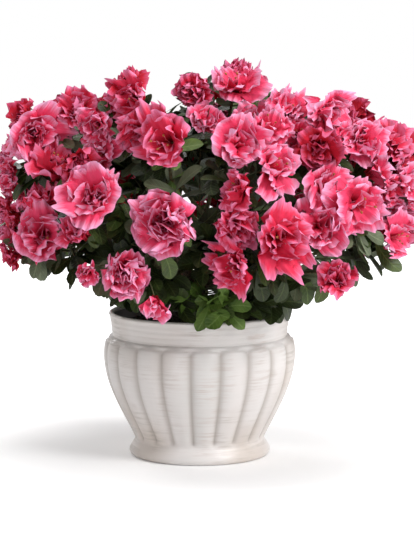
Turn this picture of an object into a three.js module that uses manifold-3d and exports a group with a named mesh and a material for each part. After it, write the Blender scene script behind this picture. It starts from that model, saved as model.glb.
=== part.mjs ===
// A potted florist's azalea in full bloom: a short trunk that forks into seven boughs, masses of twigs,
// leaves and double blossom round them, and a fluted ceramic pot filled with potting soil.
// Millimetres, +Z up. The origin is the centre of the pot's flat underside, and -Y is the plant's front.
import * as THREE from 'three';
import { mergeVertices } from 'three/addons/utils/BufferGeometryUtils.js';
import Module from 'manifold-3d';

const wasm = await Module();
wasm.setup();
const { Manifold, Mesh } = wasm;
const { degToRad, lerp } = THREE.MathUtils;
const vec = (x, y, z) => new THREE.Vector3(x, y, z);

/* ---------- Driving dimensions ---------- */

const GAP = 0.3;                 // clear space between neighbouring pieces
const MERGE = 0.02;              // corners nearer than this after a join become one

const POT = {
  height: 150,
  rimRadius: 94.5,
  collarRadius: 91,              // the neck under the rim, just above the lobes
  collarHeight: 129,
  bellyRadius: 100,
  bellyHeight: 106,
  waistRadius: 67.5,             // between the lobes and the foot
  waistHeight: 18,
  footRadius: 73,
  wall: 5,
  floor: 7,
  lobes: 20,
  firstGroove: -5.5,             // bearing of one groove, degrees
  grooveDepth: 4.2,
};

const SOIL = { height: 137, crown: 5 };   // level at the wall, and the rise towards the trunk

const TRUNK = {
  base: SOIL.height + SOIL.crown + GAP,
  height: 34,
  flareRadius: 17,
  neckRadius: 10.5,
  forkRadius: 12.5,
  lean: 3,                       // how far the fork stands to the left of the foot
  stubLength: 7,
};

// a bough ends at this share of the way to its masses, and sags by this share of its run
const BOUGH = { baseRadius: 4.6, tipRadius: 3.2, share: 0.52, sag: 0.08, stubLength: 3.5 };
const BRANCH_ANGLE = degToRad(55);   // the least angle between a bough and a side stem
const STEM = { baseRadius: 2.5, tipRadius: 1.5, reach: 44 };
const TWIG = { baseRadius: 1.5, tipRadius: 1.0 };
// depth, dome and seat (where the twig ends below the petals) are shares of the bloom's radius
const BLOOM = {
  leadRadius: 31, sideRadius: 23, sideRange: 6, depth: 0.72, dome: 0.3, seat: 0.5, sides: 6,
};
const RING = { jitter: 12, spread: 0.16, sink: 12, splay: 0.35 };
// width, thickness and droop are shares of the length, widest is the place of the greatest width
const LEAF = {
  length: 32, range: 12, width: 0.5, widest: 0.55, thickness: 0.05, droop: 0.1, hang: 0.12,
};
const SPRAY = { fan: 170, basalFan: 300, sink: 14 };
// where the whorls of leaves sit on a twig, and how far their leaves lean forward
const WHORLS = { underBloom: [[0.72, 0.5]], onSpray: [[0.96, 1.1], [0.66, 0.4]] };
// no leaf of the crown or of the basal masses hangs below a height that rises outwards like a bowl
const SKIRT = { crown: 174, basal: 157, fromAxis: 90, rise: 9, over: 115 };
// a cleft runs from front to back between the left and the middle hump of the crown
const CLEFT = { x: -36, floor: 361, width: 5, slope: 0.25, fall: 0.05, bloomShare: 0.5 };

// clear space that a bloom, a spray's tip and a leaf need inside their own mass's space, the least
// distance between leaves, and the share of their radii that two blooms keep apart
const ROOM = { bloom: 12, spray: 8, leaf: 1.5, leafSpacing: 14, bloomShare: 0.6 };
const MIDDLE_DEPTH = 20;         // how far a mass's middle lies below its blooms

const MOUND = 150;               // radius of the rounded face of one mass
const HEART = vec(0, 0, 225);    // the blooms face away from this point
const OPEN = vec(0.55, 1.2, 0.75);   // and turn a little to the front or to the back
const SEED = 7;

// bough, then for each of its masses: name, bearing (degrees from the front, positive to the right),
// reach from the pot's axis and height of its leading bloom, number of side blooms, their distance
// from the leading one, the first one's turn about it (degrees from the right, anticlockwise), the
// step to the next one, and the number of leafy sprays
const BOUGHS = {
  leader: [
    ['crown_top', 23, 92, 389, 4, 46, -174, 46, 0],
    ['crown_left', -118, 84, 358, 4, 50, 40, 90, 1],
    ['crown_right', 110, 84, 356, 4, 50, -10, 90, 1],
    ['top_left', -29, 134, 374, 3, 46, -150, 75, 1],
    ['top_right', 49, 168, 360, 3, 44, 170, 78, 1],
  ],
  left: [
    ['left_shoulder', -60, 186, 337, 4, 46, 150, -93, 1],
    ['left_face', -31, 198, 285, 3, 39, 14, 113, 4],
    ['left_flank', -49, 204, 242, 4, 50, 57, 52, 4],
  ],
  front_left: [
    ['upper_left_face', -11, 169, 335, 2, 42, -167, 125, 1],
    ['low_face', -10, 187, 260, 0, 40, 0, 0, 4],
    ['skirt_left', -22, 192, 209, 1, 42, 178, 161, 4],
  ],
  front_right: [
    ['upper_right_face', 13, 172, 333, 4, 43, -154, 63, 1],
    ['low_right', 23, 195, 243, 3, 46, 211, -48, 4],
  ],
  right: [
    ['right_shoulder', 76, 200, 326, 3, 46, -10, -72, 1],
    ['right_face', 48, 210, 273, 3, 50, 80, 60, 2],
    ['right_tip', 71, 210, 233, 0, 46, 0, 0, 4],
    ['skirt_right', 42, 200, 203, 0, 46, 0, 0, 4],
  ],
  back_right: [
    ['back_right_high', 122, 168, 324, 5, 54, 0, 72, 1],
    ['back_right_low', 124, 186, 262, 4, 54, 50, 90, 2],
    ['back_low_right', 158, 200, 246, 4, 54, 10, 90, 2],
  ],
  back_left: [
    ['back_high', 178, 156, 332, 4, 54, 30, 90, 1],
    ['back_left_high', -122, 158, 322, 4, 54, 60, 90, 1],
    ['back_left_low', -112, 182, 262, 4, 54, 20, 90, 2],
    ['back_low_left', -160, 198, 246, 4, 54, 40, 90, 2],
  ],
};

const massFrom = ([name, bearing, reach, height, sides, spread, turn, step, sprays]) =>
  ({ name, bearing, reach, height, sides, spread, turn, step, sprays });

// leafy masses that leave the trunk low down and lie over the rim
const BASAL = { count: 5, first: 4, reach: 112, height: 178, sprays: 4, spread: 30 };

const COLOUR = {
  glaze: 0xe9e4e0, soil: 0x2b211b, bark: 0x6a5240, blossom: 0xd8487c, leaf: 0x2f4a2c,
};

/* ---------- Tools ---------- */

// The same seed always gives the same numbers from 0 to 1.
function randomFrom(seed) {
  let state = seed;
  return () => {
    state = (state + 0x6d2b79f5) | 0;
    let t = Math.imul(state ^ (state >>> 15), 1 | state);
    t = (t + Math.imul(t ^ (t >>> 7), 61 | t)) ^ t;
    return ((t ^ (t >>> 14)) >>> 0) / 4294967296;
  };
}

function solidOf(geometry) {
  const bare = geometry.clone();
  bare.deleteAttribute('normal');
  bare.deleteAttribute('uv');
  const merged = mergeVertices(bare, 1e-4);
  return new Manifold(new Mesh({
    numProp: 3,
    vertProperties: merged.attributes.position.array,
    triVerts: new Uint32Array(merged.index.array),
  }));
}

// The largest body of a solid: a loose scrap is dropped.
function largestBody(solid) {
  return solid.decompose().reduce((a, b) => (b.volume() > a.volume() ? b : a));
}

function meshOf(name, solid, colour, roughness) {
  const { vertProperties, triVerts } = largestBody(solid.simplify(MERGE)).getMesh();
  const geometry = new THREE.BufferGeometry();
  geometry.setAttribute('position', new THREE.BufferAttribute(vertProperties, 3));
  geometry.setIndex(new THREE.BufferAttribute(triVerts, 1));
  const faceted = geometry.toNonIndexed();
  faceted.computeVertexNormals();
  const material = new THREE.MeshStandardMaterial({ color: colour, roughness, metalness: 0 });
  const mesh = new THREE.Mesh(faceted, material);
  mesh.name = name;
  return mesh;
}

// Moves every vertex of a geometry to where change(vertex) puts it.
function reshape(geometry, change) {
  const places = geometry.attributes.position;
  const vertex = vec(0, 0, 0);
  for (let i = 0; i < places.count; i++) {
    change(vertex.fromBufferAttribute(places, i));
    places.setXYZ(i, vertex.x, vertex.y, vertex.z);
  }
  return geometry;
}

// A lathe about +Z whose profile is [radius, height] pairs. Bearing 0 is at -Y.
function turned(profile, segments, firstBearing = 0) {
  const points = profile.map(([radius, height]) => new THREE.Vector2(radius, height));
  return new THREE.LatheGeometry(points, segments, degToRad(firstBearing)).rotateX(Math.PI / 2);
}

// Three unit vectors at right angles, the second one along direction.
function frameAlong(direction) {
  const along = direction.clone().normalize();
  const reference = Math.abs(along.z) < 0.95 ? vec(0, 0, 1) : vec(0, 1, 0);
  const across = reference.cross(along).normalize();
  return { across, along, upright: across.clone().cross(along) };
}

// A tapered round limb along a curve.
function limbGeometry(curve, baseRadius, tipRadius, sides, steps) {
  const cylinder = new THREE.CylinderGeometry(tipRadius, baseRadius, 1, sides, steps);
  return reshape(cylinder, (vertex) => {
    const share = Math.min(1, Math.max(0, vertex.y + 0.5));
    const { across, upright } = frameAlong(curve.getTangent(share));
    const [x, z] = [vertex.x, vertex.z];
    vertex.copy(curve.getPoint(share)).addScaledVector(across, x).addScaledVector(upright, z);
  });
}

// Points along a limb, about 4 mm apart.
const placesAlong = (curve, radius, owner) =>
  curve.getSpacedPoints(Math.max(2, Math.round(curve.getLength() / 4)))
    .map((point) => ({ point, radius, owner }));

function crownPoint(bearing, reach, height) {
  const angle = degToRad(bearing);
  return vec(reach * Math.sin(angle), -reach * Math.cos(angle), height);
}

const facingAt = (point) => point.clone().sub(HEART).multiply(OPEN).normalize();

/* ---------- Pot and soil ---------- */

// Convex lobes between sharp grooves, fading out at the waist and under the collar.
function fluteDepth(bearing, height) {
  const pitch = 360 / POT.lobes;
  const turn = (((bearing - POT.firstGroove) / pitch) % 1 + 1) % 1;
  const offCentre = Math.abs(turn - 0.5) * 2;
  const round = 1 - Math.sqrt(1 - Math.min(1, offCentre) ** 2);
  const from = (height - POT.waistHeight) / 14;
  const until = (POT.collarHeight - height) / 6;
  const fade = Math.min(1, Math.max(0, Math.min(from, until)));
  return POT.grooveDepth * round * fade;
}

function potSolid() {
  const { height, rimRadius, collarRadius, collarHeight, bellyRadius, bellyHeight } = POT;
  const { waistRadius, waistHeight, footRadius, wall, floor } = POT;
  const body = new THREE.SplineCurve([
    new THREE.Vector2(waistRadius, waistHeight),
    new THREE.Vector2(lerp(waistRadius, bellyRadius, 0.4), lerp(waistHeight, bellyHeight, 0.3)),
    new THREE.Vector2(lerp(waistRadius, bellyRadius, 0.78), lerp(waistHeight, bellyHeight, 0.64)),
    new THREE.Vector2(bellyRadius, bellyHeight),
    new THREE.Vector2(lerp(collarRadius, bellyRadius, 0.55), lerp(bellyHeight, collarHeight, 0.75)),
  ]).getPoints(3).map((point) => [point.x, point.y]);
  const outside = [
    [0, 0], [footRadius - 2, 0], [footRadius, 4], [footRadius - 2, 11],
    ...body,
    [collarRadius, collarHeight], [collarRadius + 1, collarHeight + 11], [rimRadius, height - 2],
    [rimRadius - 1, height], [0, height],
  ];
  const fluted = reshape(turned(outside, POT.lobes * 4, POT.firstGroove), (vertex) => {
    const radius = Math.hypot(vertex.x, vertex.y);
    if (radius < 1) return;
    const bearing = THREE.MathUtils.radToDeg(Math.atan2(vertex.x, -vertex.y));
    const share = (radius - fluteDepth(bearing, vertex.z)) / radius;
    vertex.x *= share;
    vertex.y *= share;
  });
  const inset = wall + POT.grooveDepth;
  const inside = [
    [0, floor], [waistRadius - wall - 3, floor], [waistRadius - wall + 1, waistHeight + 8],
    [bellyRadius - inset, bellyHeight], [collarRadius - wall, collarHeight],
    [rimRadius - wall, height + 1], [0, height + 1],
  ];
  return solidOf(fluted).subtract(solidOf(turned(inside, 32)));
}

function soilSolid() {
  const { waistRadius, waistHeight, bellyRadius, bellyHeight, collarRadius, wall, floor } = POT;
  const clear = wall + GAP + 0.4;   // the chords of the pot's facets come inwards a little
  const profile = [
    [0, floor + GAP], [waistRadius - clear - 3, floor + GAP],
    [waistRadius - clear + 1, waistHeight + 8],
    [bellyRadius - clear - POT.grooveDepth, bellyHeight],
    [collarRadius - clear, POT.collarHeight], [collarRadius - clear, SOIL.height],
    [collarRadius * 0.45, SOIL.height + SOIL.crown], [0, SOIL.height + SOIL.crown],
  ];
  return solidOf(turned(profile, 32));
}

/* ---------- Trunk and boughs ---------- */

const trunkTop = vec(-TRUNK.lean, 0, TRUNK.base + TRUNK.height);

// Where a mass's stem turns out towards its leading bloom.
const leadOf = ({ bearing, reach, height }) => crownPoint(bearing, reach, height);
const heartOf = (row) => {
  const lead = leadOf(row);
  return lead.addScaledVector(facingAt(lead), -STEM.reach);
};

// A bough runs about half-way from the fork to the middle of its masses.
function boughCurve(rows) {
  const middle = rows.reduce((sum, row) => sum.add(heartOf(row)), vec(0, 0, 0));
  middle.divideScalar(rows.length);
  const run = middle.clone().sub(trunkTop);
  const start = trunkTop.clone().addScaledVector(run.clone().normalize(),
    TRUNK.forkRadius + TRUNK.stubLength);
  const end = trunkTop.clone().addScaledVector(run, BOUGH.share);
  const bend = start.clone().lerp(end, 0.5);
  bend.z -= BOUGH.sag * Math.hypot(run.x, run.y);
  return new THREE.QuadraticBezierCurve3(start, bend, end);
}

// A short round stub that a thinner limb of the next order butts against.
function stub(from, direction, length, radius) {
  const end = from.clone().addScaledVector(direction, length);
  return solidOf(limbGeometry(new THREE.LineCurve3(from, end), radius, radius, 5, 1));
}

function trunkSolid(boughCurves, basalStarts) {
  const { base, height, flareRadius, neckRadius, forkRadius, lean } = TRUNK;
  const profile = [
    [0, 0], [flareRadius, 0], [flareRadius * 0.8, 3], [neckRadius, 11], [neckRadius, height * 0.6],
    [forkRadius, height * 0.9], [forkRadius * 0.8, height + 6], [0, height + 9],
  ];
  const post = reshape(turned(profile, 10), (vertex) => {
    vertex.x -= lean * vertex.z / height;
    vertex.z += base;
  });
  const parts = [solidOf(post)];
  for (const curve of boughCurves) {
    const start = curve.getPoint(0);
    const direction = curve.getTangent(0);
    const length = TRUNK.forkRadius + TRUNK.stubLength - GAP;
    const foot = start.clone().addScaledVector(direction, -length);
    parts.push(stub(foot, direction, length - GAP, BOUGH.baseRadius));
  }
  for (const { start, direction } of basalStarts) {
    const foot = start.clone().addScaledVector(direction, -TRUNK.neckRadius);
    parts.push(stub(foot, direction, TRUNK.neckRadius - GAP, STEM.baseRadius));
  }
  return Manifold.union(parts);
}

// The masses of a bough leave it one after the other, the lowest first and the last at its tip.
function stemStarts(rows, curve) {
  const order = [...rows].sort((a, b) => a.height - b.height);
  const starts = new Map();
  order.forEach((row, i) => {
    const share = rows.length === 1 ? 1 : lerp(0.5, 1, i / (rows.length - 1));
    const point = curve.getPoint(share);
    const tangent = curve.getTangent(share);
    const direction = heartOf(row).sub(point).normalize();
    if (share < 1) {
      // a side stem leaves at a wide enough angle to stay clear of the bough beyond it
      const sideways = direction.clone().addScaledVector(tangent, -direction.dot(tangent));
      const forward = Math.min(direction.dot(tangent), sideways.length() / Math.tan(BRANCH_ANGLE));
      direction.copy(sideways).addScaledVector(tangent, forward).normalize();
    }
    const radius = lerp(BOUGH.baseRadius, BOUGH.tipRadius, share);
    starts.set(row.name, { foot: point, direction, length: radius + BOUGH.stubLength });
  });
  return starts;
}

function boughSolid(curve, starts) {
  const { baseRadius, tipRadius } = BOUGH;
  const parts = [solidOf(limbGeometry(curve, baseRadius, tipRadius, 6, 4))];
  for (const { foot, direction, length } of starts.values())
    parts.push(stub(foot, direction, length, STEM.baseRadius));
  return Manifold.union(parts);
}

/* ---------- Masses ---------- */

// The shoots of one mass: the leading one, side blooms in a ring round it, and leafy sprays fanned
// out below them. Each has its tip, the way it faces, its bloom's radius (0 on a spray) and where
// on the stem its twig starts.
function shootsOf(row, index, leafy) {
  const { sides, spread, turn, step, sprays } = row;
  const random = randomFrom(SEED * 100 + index);
  const lead = leadOf(row);
  const out = facingAt(lead);
  const right = vec(0, 0, 1).cross(out).normalize();
  const up = out.clone().cross(right);
  const shoots = [{ tip: lead, facing: out, radius: leafy ? 0 : BLOOM.leadRadius, share: 1 }];
  const addSide = (angle, away, sink, radius) => {
    const side = right.clone().multiplyScalar(Math.cos(angle))
      .addScaledVector(up, Math.sin(angle));
    const tip = lead.clone().addScaledVector(side, away)
      .addScaledVector(out, -(away * away) / (2 * MOUND) - sink);
    const facing = facingAt(tip).addScaledVector(side, RING.splay).normalize();
    shoots.push({ tip, facing, radius, share: 0.45 + 0.4 * random() });
  };
  for (let i = 0; i < sides; i++) {
    const angle = degToRad(turn + step * i + RING.jitter * (random() - 0.5));
    const away = spread * (1 + RING.spread * (random() - 0.5));
    const radius = BLOOM.sideRadius + BLOOM.sideRange * random();
    addSide(angle, away, RING.sink * random(), radius);
  }
  const fan = leafy ? SPRAY.basalFan : SPRAY.fan;
  for (let i = 0; i < sprays; i++) {
    const angle = degToRad(-90 + fan * ((i + 0.5) / sprays - 0.5) + 16 * (random() - 0.5));
    const sink = leafy ? 0 : SPRAY.sink;
    addSide(angle, spread * (0.75 + 0.3 * random()), sink + 8 * random(), 0);
  }
  return shoots;
}

// Each mass keeps to its own space: the points that are nearer to its middle than to any other's.
const middles = new Map();

function roomAt(owner, point) {
  const own = middles.get(owner);
  let room = Infinity;
  for (const [name, other] of middles) {
    if (name === owner) continue;
    const apart = own.distanceTo(other);
    const wall = (point.distanceToSquared(other) - point.distanceToSquared(own)) / (2 * apart);
    room = Math.min(room, wall);
  }
  return room;
}

// Draws a petal's point in towards its bloom's middle until it is inside its mass's space and
// nearer to that middle than to any other bloom's.
function drawnIn(owner, point, middle, others) {
  const result = point.clone();
  const outside = () => roomAt(owner, result) < GAP
    || others.some((other) => result.distanceTo(other) - result.distanceTo(middle) < GAP * 2);
  for (let step = 0; step < 14 && outside(); step++) result.lerp(middle, 0.1);
  return result;
}

// Whether a bloom of a radius, or a leaf's tip, would close the cleft in the crown.
function inCleft(point, radius) {
  const margin = radius * CLEFT.bloomShare;
  const above = point.z + margin - (CLEFT.floor - CLEFT.fall * point.y);
  const half = CLEFT.width + CLEFT.slope * above + margin;
  return above > 0 && Math.abs(point.x - CLEFT.x) < half;
}

// Slides side shoots towards the leading one until they have room, and drops those that have none
// or stand in the cleft.
function settledShoots(owner, shoots) {
  const [lead] = shoots;
  const settled = [lead];
  for (const shoot of shoots.slice(1)) {
    const tip = shoot.tip.clone();
    const room = shoot.radius ? ROOM.bloom : ROOM.spray;
    for (let step = 0; step < 8 && roomAt(owner, tip) < room; step++) tip.lerp(lead.tip, 0.06);
    const crowded = settled.some((other) => other.radius && shoot.radius
      && tip.distanceTo(other.tip) < ROOM.bloomShare * (other.radius + shoot.radius));
    const roomy = roomAt(owner, tip) > room * 0.5;
    if (roomy && !crowded && !inCleft(tip, shoot.radius)) settled.push({ ...shoot, tip });
  }
  return settled;
}

function hangsLow(owner, point) {
  const outward = Math.max(0, Math.hypot(point.x, point.y) - SKIRT.fromAxis) / SKIRT.over;
  const lowest = owner.startsWith('basal') ? SKIRT.basal : SKIRT.crown;
  return point.z < lowest + SKIRT.rise * outward ** 2;
}

// The points that every limb passes through, with its radius there.
const limbPlaces = [];

function clearOfLimbs(owner, line, width) {
  const nearest = vec(0, 0, 0);
  return limbPlaces.every(({ point, radius, owner: other }) => other === owner
    || line.closestPointToPoint(point, true, nearest).distanceTo(point) > radius + width + 1);
}

// A cone that opens into a ring of petals, with the inner petals as a low dome on it.
function bloomSolid(owner, shoot, blooms, random) {
  const { tip, facing, radius } = shoot;
  const { sides, depth, dome } = BLOOM;
  const middleOf = (bloom) => bloom.tip.clone().addScaledVector(bloom.facing, -0.2 * radius);
  const middle = middleOf(shoot);
  const others = blooms.filter((bloom) => bloom !== shoot).map(middleOf);
  const reach = Array.from({ length: sides }, () => 0.97 + 0.18 * random());
  const lift = Array.from({ length: sides }, () => 0.16 * random());
  const { across, along, upright } = frameAlong(facing);
  const spin = random() * Math.PI * 2;
  return solidOf(reshape(turned([[0, -depth], [1, 0], [0, dome]], sides), (vertex) => {
    const ring = Math.hypot(vertex.x, vertex.y);
    const turn = Math.atan2(vertex.y, vertex.x);
    const side = (Math.round(turn / (2 * Math.PI) * sides + 0.5) + sides) % sides;
    const away = ring * reach[side] * radius;
    const height = (vertex.z + ring * lift[side]) * radius;
    vertex.copy(tip).addScaledVector(along, height)
      .addScaledVector(across, away * Math.cos(turn + spin))
      .addScaledVector(upright, -away * Math.sin(turn + spin));
    vertex.copy(drawnIn(owner, vertex, middle, others));
  }));
}

function leafSolid({ root, direction, normal, length }) {
  const { width, thickness, widest, droop } = LEAF;
  const across = normal.clone().cross(direction).normalize();
  const top = direction.clone().cross(across);
  const blade = new THREE.SphereGeometry(1, 4, 2);
  return solidOf(reshape(blade, (vertex) => {
    const [x, y, z] = [vertex.x, vertex.y, vertex.z];
    const share = Math.abs(z) > 0.5 ? (z + 1) / 2 : widest;
    vertex.copy(root).addScaledVector(direction, length * share)
      .addScaledVector(across, x * 0.5 * width * length)
      .addScaledVector(top, length * (0.5 * thickness * y - droop * share * share));
  }));
}

// Whether a leaf stays in its space, above the pot, off the limbs and apart from its neighbours.
function leafFits(owner, { root, direction, normal, length }, leaves, blooms) {
  const at = (share) => root.clone().addScaledVector(direction, length * share);
  const across = direction.clone().cross(normal).normalize();
  const half = 0.5 * LEAF.width * length;
  const samples = [0.4, 0.7, 1].map(at);
  const edges = [-half, half].map((side) => at(LEAF.widest).addScaledVector(across, side));
  return [...samples, ...edges].every((point) => roomAt(owner, point) > ROOM.leaf
      && !hangsLow(owner, point) && !inCleft(point, 0))
    && clearOfLimbs(owner, new THREE.Line3(at(0.2), at(1)), half)
    && leaves.every((leaf) => leaf.samples.every((other) =>
      samples.every((point) => point.distanceTo(other) > ROOM.leafSpacing)))
    && blooms.every(({ tip, facing, radius }) => samples.every((point) =>
      point.distanceTo(tip.clone().addScaledVector(facing, -0.2 * radius)) > 0.75 * radius));
}

// Adds a whorl of leaves round a three-sided twig, one on each side of it, where they fit.
function addWhorl(owner, twig, share, forward, random, leaves, blooms) {
  const { across, along, upright } = frameAlong(twig.getTangent(share));
  for (let side = 0; side < 3; side++) {
    const angle = degToRad(30 + 120 * side + 24 * (random() - 0.5));
    const direction = across.clone().multiplyScalar(Math.cos(angle))
      .addScaledVector(upright, Math.sin(angle))
      .addScaledVector(along, forward + 0.3 * (random() - 0.5));
    direction.z -= LEAF.hang;
    direction.normalize();
    const length = LEAF.length + LEAF.range * random();
    const root = twig.getPoint(share).addScaledVector(direction, -0.3);
    const normal = vec(0, 0, 1).addScaledVector(along, 0.5);
    normal.addScaledVector(direction, -normal.dot(direction)).normalize();
    const leaf = { root, direction, normal, length };
    if (!leafFits(owner, leaf, leaves, blooms)) continue;
    leaf.samples = [0.4, 0.7, 1].map((part) =>
      root.clone().addScaledVector(direction, length * part));
    leaves.push(leaf);
  }
}

// A stem leaves in the direction of the stub before it and turns out towards its leading bloom.
function stemCurve(start, direction, row) {
  const lead = leadOf(row);
  const calyx = lead.clone().addScaledVector(facingAt(lead), -BLOOM.leadRadius * BLOOM.seat);
  const bend = start.clone().addScaledVector(direction, STEM.reach * 0.4);
  return new THREE.CubicBezierCurve3(start, bend, heartOf(row), calyx);
}

function massSolid({ row, stem, shoots }, index) {
  const owner = row.name;
  const random = randomFrom(SEED * 1000 + index);
  const parts = [solidOf(limbGeometry(stem, STEM.baseRadius, STEM.tipRadius, 4, 4))];
  const leaves = [];
  const settled = settledShoots(owner, shoots);
  const blooms = settled.filter(({ radius }) => radius);
  for (const shoot of settled) {
    const { tip, facing, radius, share } = shoot;
    const calyx = tip.clone().addScaledVector(facing, -radius * BLOOM.seat);
    const twig = new THREE.LineCurve3(stem.getPoint(share), calyx);
    if (share < 1) {
      if (!clearOfLimbs(owner, new THREE.Line3(twig.v1, twig.v2), TWIG.baseRadius)) continue;
      parts.push(solidOf(limbGeometry(twig, TWIG.baseRadius, TWIG.tipRadius, 3, 1)));
    }
    if (radius) parts.push(bloomSolid(owner, shoot, blooms, random));
    const limb = share < 1 ? twig : stem;
    for (const [place, forward] of radius ? WHORLS.underBloom : WHORLS.onSpray)
      addWhorl(owner, limb, place, forward, random, leaves, blooms);
  }
  parts.push(...leaves.map(leafSolid));
  return Manifold.union(parts);
}

/* ---------- Assembly ---------- */

const plant = new THREE.Group();
const add = (name, solid, colour, roughness) => plant.add(meshOf(name, solid, colour, roughness));

const masses = [];
function addMass(row, start, direction, leafy) {
  const shoots = shootsOf(row, masses.length, leafy);
  const stem = stemCurve(start, direction, row);
  const middle = shoots.reduce((sum, { tip }) => sum.add(tip), vec(0, 0, 0));
  middle.divideScalar(shoots.length).addScaledVector(shoots[0].facing, -MIDDLE_DEPTH);
  middles.set(row.name, middle);
  limbPlaces.push(...placesAlong(stem, STEM.baseRadius, row.name));
  masses.push({ row, stem, shoots, colour: leafy ? COLOUR.leaf : COLOUR.blossom });
}

const boughs = Object.entries(BOUGHS).map(([name, lists]) => {
  const rows = lists.map(massFrom);
  const curve = boughCurve(rows);
  const starts = stemStarts(rows, curve);
  limbPlaces.push(...placesAlong(curve, BOUGH.baseRadius, name));
  for (const row of rows) {
    const { foot, direction, length } = starts.get(row.name);
    addMass(row, foot.clone().addScaledVector(direction, length + GAP), direction, false);
  }
  return { name, curve, starts };
});

const basalStarts = [];
for (let i = 0; i < BASAL.count; i++) {
  const bearing = BASAL.first + 360 * i / BASAL.count;
  const row = { ...BASAL, name: 'basal_' + (i + 1), bearing, sides: 0 };
  const foot = vec(-TRUNK.lean * 0.4, 0, TRUNK.base + TRUNK.height * 0.4);
  const direction = heartOf(row).sub(foot).setZ(4).normalize();
  const start = foot.addScaledVector(direction, TRUNK.neckRadius + TRUNK.stubLength);
  basalStarts.push({ start, direction });
  addMass(row, start.clone(), direction, true);
}

add('pot', potSolid(), COLOUR.glaze, 0.35);
add('soil', soilSolid(), COLOUR.soil, 0.95);
add('trunk', trunkSolid(boughs.map(({ curve }) => curve), basalStarts), COLOUR.bark, 0.85);
for (const { name, curve, starts } of boughs)
  add('bough_' + name, boughSolid(curve, starts), COLOUR.bark, 0.85);
masses.forEach((mass, index) =>
  add('mass_' + mass.row.name, massSolid(mass, index), mass.colour, 0.6));

export default plant;
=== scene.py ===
"""The looks of a florist's azalea in full double bloom, in its fluted white pot.

The plant grows here by the same rule as its solids do: a trunk that forks into seven boughs, a stem for
every mass, and a ring of side shoots round each stem's leading one. Finer twigs, leaves and whole
blossoms then fill the space of each mass. Lengths are in millimetres until a mesh is made. Finishes
and lights are in metres.
"""

import math

import bpy
import numpy as np
from mathutils import Matrix, Quaternion, Vector, noise


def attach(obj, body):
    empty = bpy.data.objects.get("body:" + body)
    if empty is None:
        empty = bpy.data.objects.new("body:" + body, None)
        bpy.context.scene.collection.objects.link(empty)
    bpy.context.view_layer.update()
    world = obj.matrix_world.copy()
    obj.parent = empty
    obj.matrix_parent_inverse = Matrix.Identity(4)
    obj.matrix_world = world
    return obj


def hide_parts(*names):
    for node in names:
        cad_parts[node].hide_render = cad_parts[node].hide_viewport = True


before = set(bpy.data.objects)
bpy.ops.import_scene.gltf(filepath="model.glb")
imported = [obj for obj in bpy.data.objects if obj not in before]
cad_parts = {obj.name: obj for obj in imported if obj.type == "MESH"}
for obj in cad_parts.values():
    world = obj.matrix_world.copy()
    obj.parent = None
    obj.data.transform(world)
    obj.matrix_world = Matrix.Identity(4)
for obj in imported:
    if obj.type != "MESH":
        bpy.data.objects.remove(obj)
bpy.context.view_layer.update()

MM = 0.001                       # metres in a millimetre
BODY = "root"
FLAT_MAP = "OFBake"              # the map that a petal's or a leaf's own pattern lies on

# ---------- The plant's sizes ----------

POT = dict(
    height=150, rim_radius=94.5, collar_radius=91, collar_height=124, belly_radius=100,
    belly_height=106, waist_radius=67.5, waist_height=17, foot_radius=73, wall=5,
    lobes=20, first_groove=-5.5, groove_depth=4.6,
)
SOIL = dict(height=137, crown=5, depth=7, clear=1.3, doming=0.9)
TRUNK = dict(
    base=142.3, height=34, neck_radius=10.5, fork_radius=12.5, lean=3, stub_length=7,
)
BOUGH = dict(base_radius=4.6, tip_radius=3.2, share=0.52, sag=0.08, stub_length=3.5)
BRANCH_ANGLE = math.radians(55)
STEM = dict(base_radius=2.5, tip_radius=1.5, reach=44)
TWIG = dict(base_radius=1.4, tip_radius=0.9)
FINE_TWIG = dict(base_radius=0.9, tip_radius=0.6)
PEDICEL = dict(base_radius=0.9, tip_radius=0.8)
# seat and middle (how far below its tip a blossom joins its twig, and where the petals are thickest)
# are shares of the radius
BLOOM = dict(lead_radius=31, side_radius=23, side_range=6, seat=0.5, middle=0.2)
RING = dict(jitter=12, spread=0.16, sink=12, splay=0.35)
SPRAY = dict(fan=170, basal_fan=300, sink=14, jitter=16, sink_range=8)
# no leaf hangs below a height that rises outwards from a distance off the pot's axis
SKIRT = dict(crown=170, basal=144, on_rim=153, from_axis=90, rise=9, over=115)
ROOM = dict(bloom=12, spray=8, leaf=1.0, bloom_share=0.6)
# a cleft runs from front to back between the left and the middle hump of the crown
CLEFT = dict(x=-36, floor=361, width=5, slope=0.25, fall=0.05, bloom_share=0.5)
GAP = 0.3                        # clear space between neighbouring pieces
MIDDLE_DEPTH = 20                # how far a mass's middle lies below its blossoms
MOUND = 150                      # radius of the rounded face of one mass
HEART = Vector((0, 0, 225))      # the blossoms face away from this point
OPEN = Vector((0.55, 1.2, 0.75))   # and turn a little to the front or to the back
SEED = 7

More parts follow.
